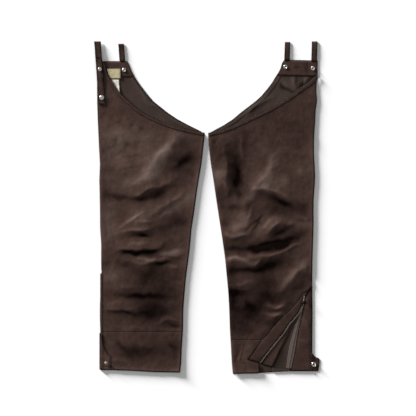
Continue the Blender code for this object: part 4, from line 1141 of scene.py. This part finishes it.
Snap = namedtuple("Snap", "x y base diameter eye finish slot")
SNAPS = {
    "left_hip_snap": Snap(-352, 454, 7.9, 13, 0, NICKEL, "nickel"),
    "left_strap_snap": Snap(-346, 361, 7.2, 16, 0, NICKEL, "nickel"),
    "left_waist_snap": Snap(-273, 452, 3.3, 13, 5, NICKEL, "nickel"),
    "right_inner_waist_snap": Snap(257, 462, 3.3, 13, 5, NICKEL, "nickel"),
    "right_outer_waist_snap": Snap(347, 457, 3.3, 13, 5, NICKEL, "nickel"),
    "left_tab_snap": Snap(-330.5, -510.5, 7.2, 13, 0, DULL_NICKEL, "dull_nickel"),
    "right_tab_snap": Snap(350, -514.5, 3.5, 15, 6, NICKEL, "nickel"),
}


def arc(radius, centre_r, centre_z, start, end, steps):
    """Points (radius, height) along an arc, with its angles in degrees."""
    return [(centre_r + radius * cos(radians(start + (end - start) * i / steps)),
             centre_z + radius * sin(radians(start + (end - start) * i / steps))) for i in range(steps + 1)]


def snap_profile(diameter, eye):
    """Half the section of a snap, from its middle or its eye outwards and back along its foot."""
    radius = diameter / 2
    if eye == 0:
        dome = [(radius * 0.74 * sin(radians(a)), 1.25 + 1.05 * cos(radians(a))) for a in range(0, 91, 10)]
        rim = arc(0.62, radius - 0.62, 0.75, 150, -90, 12)
        return dome + [(radius * 0.78, 0.98)] + rim + [(0.0, 0.13)]
    lip = arc(0.32, eye / 2 + 0.32, 0.95, -90, -360, 10)
    well = [(eye / 2 + 0.75, 0.55), (radius - 2.1, 0.62)]
    rim = arc(0.85, radius - 0.85, 0.85, 165, -90, 14)
    return [(eye / 2 + 0.32, 0.0)] + lip + well + rim + [(eye / 2 + 0.32, 0.0)]


def finish_metal(name, shape, place, material, sharp=50):
    """Make a piece of a shape in its place, smooth but for edges that turn by more than the sharp angle."""
    shape.transform(place)
    mesh = bpy.data.meshes.new(name)
    shape.to_mesh(mesh)
    shape.free()
    mesh.materials.append(material)
    mesh.shade_smooth()
    mesh.set_sharp_from_angle(angle=radians(sharp))
    return set_out(name, mesh)


for name, snap in SNAPS.items():
    shape = bmesh.new()
    verts = [shape.verts.new((r * MM, 0, z * MM)) for r, z in snap_profile(snap.diameter, snap.eye)]
    edges = [shape.edges.new(pair) for pair in zip(verts, verts[1:])]
    bmesh.ops.spin(shape, geom=verts + edges, axis=(0, 0, 1), cent=(0, 0, 0), steps=40, angle=2 * pi,
                   use_duplicate=False)
    bmesh.ops.remove_doubles(shape, verts=shape.verts, dist=0.000005)
    bmesh.ops.recalc_face_normals(shape, faces=shape.faces)
    tip = Matrix.Rotation(radians(2.0), 4, Vector((cos(snap.x), sin(snap.y), 0)))
    place = Matrix.Translation(Vector((snap.x, snap.y, snap.base)) * MM) @ tip
    cap = finish_metal(f"{name}_metal", shape, place, snap.finish, sharp=55)
    hand_over(cap, [name])


# ================================================== zip sliders and pull tab
# Each zip has a cast slider that wraps round both rows of teeth. The right one stands at the top of the open
# zip with its bail, and its pull tab swings about the bail; the left one lies closed under the snapped tab.

PIVOT = Vector((317.0, -305.0, 7.0))
ZIP_LEAN = radians(-9.5)
BAIL_RADIUS = 2.1
BAIL_WIRE = 0.5


def bevelled_slab(outline, bottom, top, bevel):
    """A cast slab with that outline and rounded edges."""
    shape = bmesh.new()
    base = shape.faces.new([shape.verts.new((px * MM, py * MM, bottom * MM)) for px, py in outline])
    raised = bmesh.ops.extrude_face_region(shape, geom=[base])
    lifted = [item for item in raised["geom"] if isinstance(item, bmesh.types.BMVert)]
    bmesh.ops.translate(shape, vec=(0, 0, (top - bottom) * MM), verts=lifted)
    bmesh.ops.recalc_face_normals(shape, faces=shape.faces)
    bmesh.ops.bevel(shape, geom=shape.edges, offset=bevel * MM, segments=3, profile=0.6, affect="EDGES")
    return shape


def slider_shape(width, length, thickness):
    """The slider's two plates joined by its nose, wide at the shoulders and narrow at the mouth."""
    half, tail = width / 2, width * 0.36
    plate = [(-tail, -length / 2), (tail, -length / 2), (half, length * 0.12), (half * 0.9, length * 0.36),
             (half * 0.45, length / 2), (-half * 0.45, length / 2), (-half * 0.9, length * 0.36),
             (-half, length * 0.12)]
    return bevelled_slab(plate, -thickness / 2, thickness / 2, 0.25)


def add_wire(shape, path, radius, sides=10):
    """Sweep a round wire along points in the YZ plane, closed at both ends."""
    path = [Vector((0, py, pz)) * MM for py, pz in path]
    rings = []
    for index, point in enumerate(path):
        along = (path[min(index + 1, len(path) - 1)] - path[max(index - 1, 0)]).normalized()
        side = along.cross(Vector((1, 0, 0)))
        rings.append([shape.verts.new(point + radius * MM * (Vector((1, 0, 0)) * cos(2 * pi * k / sides)
                                                             + side * sin(2 * pi * k / sides)))
                      for k in range(sides)])
    for one, two in zip(rings, rings[1:]):
        for k in range(sides):
            shape.faces.new((one[k], one[(k + 1) % sides], two[(k + 1) % sides], two[k]))
    shape.faces.new(rings[0][::-1])
    shape.faces.new(rings[-1])


zip_place = Matrix.Translation(PIVOT * MM) @ Matrix.Rotation(ZIP_LEAN, 4, "Z")
body = slider_shape(7.0, 10.0, 1.8)
bmesh.ops.translate(body, vec=(0, 0, -2.9 * MM), verts=body.verts)
bail_path = ([(-BAIL_RADIUS - 0.5, -2.6), (-BAIL_RADIUS - 0.1, -1.2)]
             + [(BAIL_RADIUS * cos(radians(a)), BAIL_RADIUS * sin(radians(a))) for a in range(180, -1, -15)]
             + [(BAIL_RADIUS + 0.1, -1.2), (BAIL_RADIUS + 0.5, -2.6)])
add_wire(body, bail_path, BAIL_WIRE)
bmesh.ops.recalc_face_normals(body, faces=body.faces)
slider = finish_metal("right_slider_metal", body, zip_place, SHADED_BRASS)
hand_over(slider, ["right_zip_slider"])
left_place = Matrix.Translation(Vector((-345.4, -515.0, 3.9)) * MM)
slider = finish_metal("left_slider_metal", slider_shape(5.5, 9.0, 1.6), left_place, SHADED_BRASS)
hand_over(slider, ["left_zip_slider"])

PULL_LENGTH = 15.5
PULL_THICKNESS = 1.0
PULL_HALF = [(2.2, -0.5), (2.35, 1.6), (2.1, 4.4), (1.65, 6.0), (1.75, 8.5), (2.15, 12.0), (2.0, 14.3),
             (1.2, 15.3), (0.0, PULL_LENGTH)]                                     # (half width, y)
outline = PULL_HALF + [(-px, py) for px, py in PULL_HALF[-2::-1]]
eye = [(1.2 * cos(radians(a)), 2.05 + 1.5 * sin(radians(a))) for a in range(0, 360, 30)]
shape = bmesh.new()
loops = []
for ring in (outline, eye):
    corners = [shape.verts.new((px * MM, py * MM, 0)) for px, py in ring]
    loops += [shape.edges.new(pair) for pair in zip(corners, corners[1:] + corners[:1])]
bmesh.ops.triangle_fill(shape, edges=loops, use_beauty=True)
raised = bmesh.ops.extrude_face_region(shape, geom=shape.faces[:])
lifted = [item for item in raised["geom"] if isinstance(item, bmesh.types.BMVert)]
bmesh.ops.translate(shape, vec=(0, 0, PULL_THICKNESS * MM), verts=lifted)
bmesh.ops.translate(shape, vec=(0, 0, -PULL_THICKNESS / 2 * MM), verts=shape.verts)
bmesh.ops.recalc_face_normals(shape, faces=shape.faces)
rims = [edge for edge in shape.edges if len(edge.link_faces) == 2 and edge.calc_face_angle(0) > 1.2]
bmesh.ops.bevel(shape, geom=rims, offset=0.2 * MM, segments=2, profile=0.6, affect="EDGES")
pull = finish_metal("right_pull_tab", shape, zip_place, DULL_NICKEL)
hand_over(pull, ["right_zip_pull"], body="pull_tab")


# ================================================== zip teeth and stitches
# The teeth are stamped brass, clamped one by one on the edge of their tape. The thread is thick brown
# polyester, sewn with a lockstitch of about eight stitches to the inch along seams and turned edges.


def row_tree(name, part_of_row):
    """Geometry Nodes that set a small shape at an even pitch along lines, turned to follow them."""
    tree = bpy.data.node_groups.new(name, "GeometryNodeTree")
    sockets = {}
    tree.interface.new_socket("Geometry", in_out="INPUT", socket_type="NodeSocketGeometry")
    for label, kind in (("Pitch", "Float"), ("Length", "Float"), ("Width", "Float"), ("Height", "Float"),
                        ("Finish", "Material")):
        socket = tree.interface.new_socket(label, in_out="INPUT", socket_type=f"NodeSocket{kind}")
        sockets[label] = socket.identifier
    tree.interface.new_socket("Geometry", in_out="OUTPUT", socket_type="NodeSocketGeometry")
    nodes, links = tree.nodes, tree.links
    start, end = nodes.new("NodeGroupInput"), nodes.new("NodeGroupOutput")
    curve = nodes.new("GeometryNodeMeshToCurve")
    links.new(start.outputs["Geometry"], curve.inputs[0])
    even = add_node(nodes, "GeometryNodeResampleCurve", [("mode", "LENGTH")])
    links.new(curve.outputs[0], even.inputs["Curve"])
    links.new(start.outputs["Pitch"], even.inputs["Length"])
    unit = part_of_row(nodes)
    size = nodes.new("ShaderNodeCombineXYZ")
    for axis, label in zip("XYZ", ("Length", "Width", "Height")):
        links.new(start.outputs[label], size.inputs[axis])
    shaped = nodes.new("GeometryNodeTransform")
    links.new(unit, shaped.inputs["Geometry"])
    links.new(size.outputs[0], shaped.inputs["Scale"])
    tangent = nodes.new("GeometryNodeInputTangent")
    turned = add_node(nodes, "FunctionNodeAlignRotationToVector", [("axis", "X"), ("pivot_axis", "Z")])
    links.new(tangent.outputs[0], turned.inputs["Vector"])
    rows = nodes.new("GeometryNodeInstanceOnPoints")
    links.new(even.outputs[0], rows.inputs["Points"])
    links.new(shaped.outputs[0], rows.inputs["Instance"])
    links.new(turned.outputs[0], rows.inputs["Rotation"])
    real = nodes.new("GeometryNodeRealizeInstances")
    links.new(rows.outputs[0], real.inputs[0])
    finish = nodes.new("GeometryNodeSetMaterial")
    links.new(real.outputs[0], finish.inputs["Geometry"])
    links.new(start.outputs["Finish"], finish.inputs["Material"])
    links.new(finish.outputs[0], end.inputs[0])
    return tree, sockets


def lay_rows(name, tree, sockets, lines, **sizes):
    """Run a row tree along lines of points and keep the plain mesh that it makes."""
    points, edges = [], []
    for line in lines:
        edges += [(len(points) + i, len(points) + i + 1) for i in range(len(line) - 1)]
        points += [tuple(float(c) * MM for c in point) for point in line]
    guide_mesh = bpy.data.meshes.new(f"{name}_lines")
    guide_mesh.from_pydata(points, edges, [])
    guide = set_out(f"{name}_lines", guide_mesh)
    rows = guide.modifiers.new("Rows", "NODES")
    rows.node_group = tree
    for label, value in sizes.items():
        rows[sockets[label]] = value
    made = bpy.data.meshes.new_from_object(guide.evaluated_get(bpy.context.evaluated_depsgraph_get()))
    guide.modifiers.remove(rows)
    bpy.data.objects.remove(guide)
    made.name = name
    return set_out(name, made)


def tooth(nodes):
    """A tooth is a low block with eight sides."""
    block = add_node(nodes, "GeometryNodeMeshCylinder", Vertices=8, Radius=0.5, Depth=1.0)
    return block.outputs["Mesh"]


def stitch(nodes):
    """A stitch is a bead of thread drawn down at both ends."""
    bead = add_node(nodes, "GeometryNodeMeshUVSphere", Segments=6, Rings=4, Radius=0.5)
    return bead.outputs["Mesh"]


tree, sockets = row_tree("Row of zip teeth", tooth)
teeth = lay_rows("zip_teeth", tree, sockets, zip_teeth, Pitch=2.1 * MM, Length=1.1 * MM, Width=2.4 * MM,
                 Height=1.5 * MM, Finish=AGED_BRASS)
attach(teeth, "chaps")

thread, shader, nodes, links = new_finish("Brown thread", Roughness=0.55, Sheen_Weight=0.2)
place = add_node(nodes, "ShaderNodeTexCoord")
twist = add_node(nodes, "ShaderNodeTexWave", [("bands_direction", "DIAGONAL")], Scale=1500.0)
links.new(place.outputs["Object"], twist.inputs["Vector"])
tone = two_tone(nodes, links, (0.010, 0.0050, 0.0036), (0.020, 0.0100, 0.0072), twist.outputs["Fac"])
links.new(tone, shader.inputs["Base Color"])

tree, sockets = row_tree("Row of stitches", stitch)
stitching = lay_rows("stitching", tree, sockets, stitch_lines, Pitch=3.2 * MM, Length=2.7 * MM,
                     Width=0.6 * MM, Height=0.24 * MM, Finish=thread)
stitching.data.shade_smooth()
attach(stitching, "chaps")


# ================================================== floor, light and camera
# The chaps lie on a plain white sweep, seen from straight above with no perspective.
# A broad softbox stands low beyond the left hip, so each crease has a lit side and a soft shade.

floor_finish = new_finish("White sweep", Base_Color=(0.95, 0.95, 0.95, 1), Roughness=0.9)[0]
FLOOR_HALF = 6.0
floor_mesh = bpy.data.meshes.new("floor")
floor_mesh.from_pydata([(-FLOOR_HALF, -FLOOR_HALF, 0), (FLOOR_HALF, -FLOOR_HALF, 0),
                        (FLOOR_HALF, FLOOR_HALF, 0), (-FLOOR_HALF, FLOOR_HALF, 0)], [], [(0, 1, 2, 3)])
floor_mesh.materials.append(floor_finish)
floor = set_out("floor", floor_mesh)

studio = bpy.data.worlds.new("studio")
studio.use_nodes = True
studio.node_tree.nodes["Background"].inputs["Color"].default_value = (1, 1, 1, 1)
studio.node_tree.nodes["Background"].inputs["Strength"].default_value = 0.34
scene = bpy.context.scene
scene.world = studio
scene.view_settings.view_transform = "Standard"

KEY_HEIGHT = 8         # degrees above the surface
KEY_BEARING = 138      # degrees round from the right, so it comes from beyond the left hip
key_data = bpy.data.lights.new("key_softbox", "SUN")
key_data.energy = 17.0
key_data.angle = radians(12)
key = bpy.data.objects.new("key_softbox", key_data)
towards = Vector((cos(radians(KEY_BEARING)), sin(radians(KEY_BEARING)), sin(radians(KEY_HEIGHT))))
key.rotation_euler = towards.to_track_quat("Z", "Y").to_euler()
scene.collection.objects.link(key)

camera_data = bpy.data.cameras.new("camera")
camera_data.type = "ORTHO"
camera_data.ortho_scale = 1.3645
camera = bpy.data.objects.new("camera", camera_data)
camera.location = (0.003, -0.0015, 3.0)
scene.collection.objects.link(camera)
scene.camera = camera
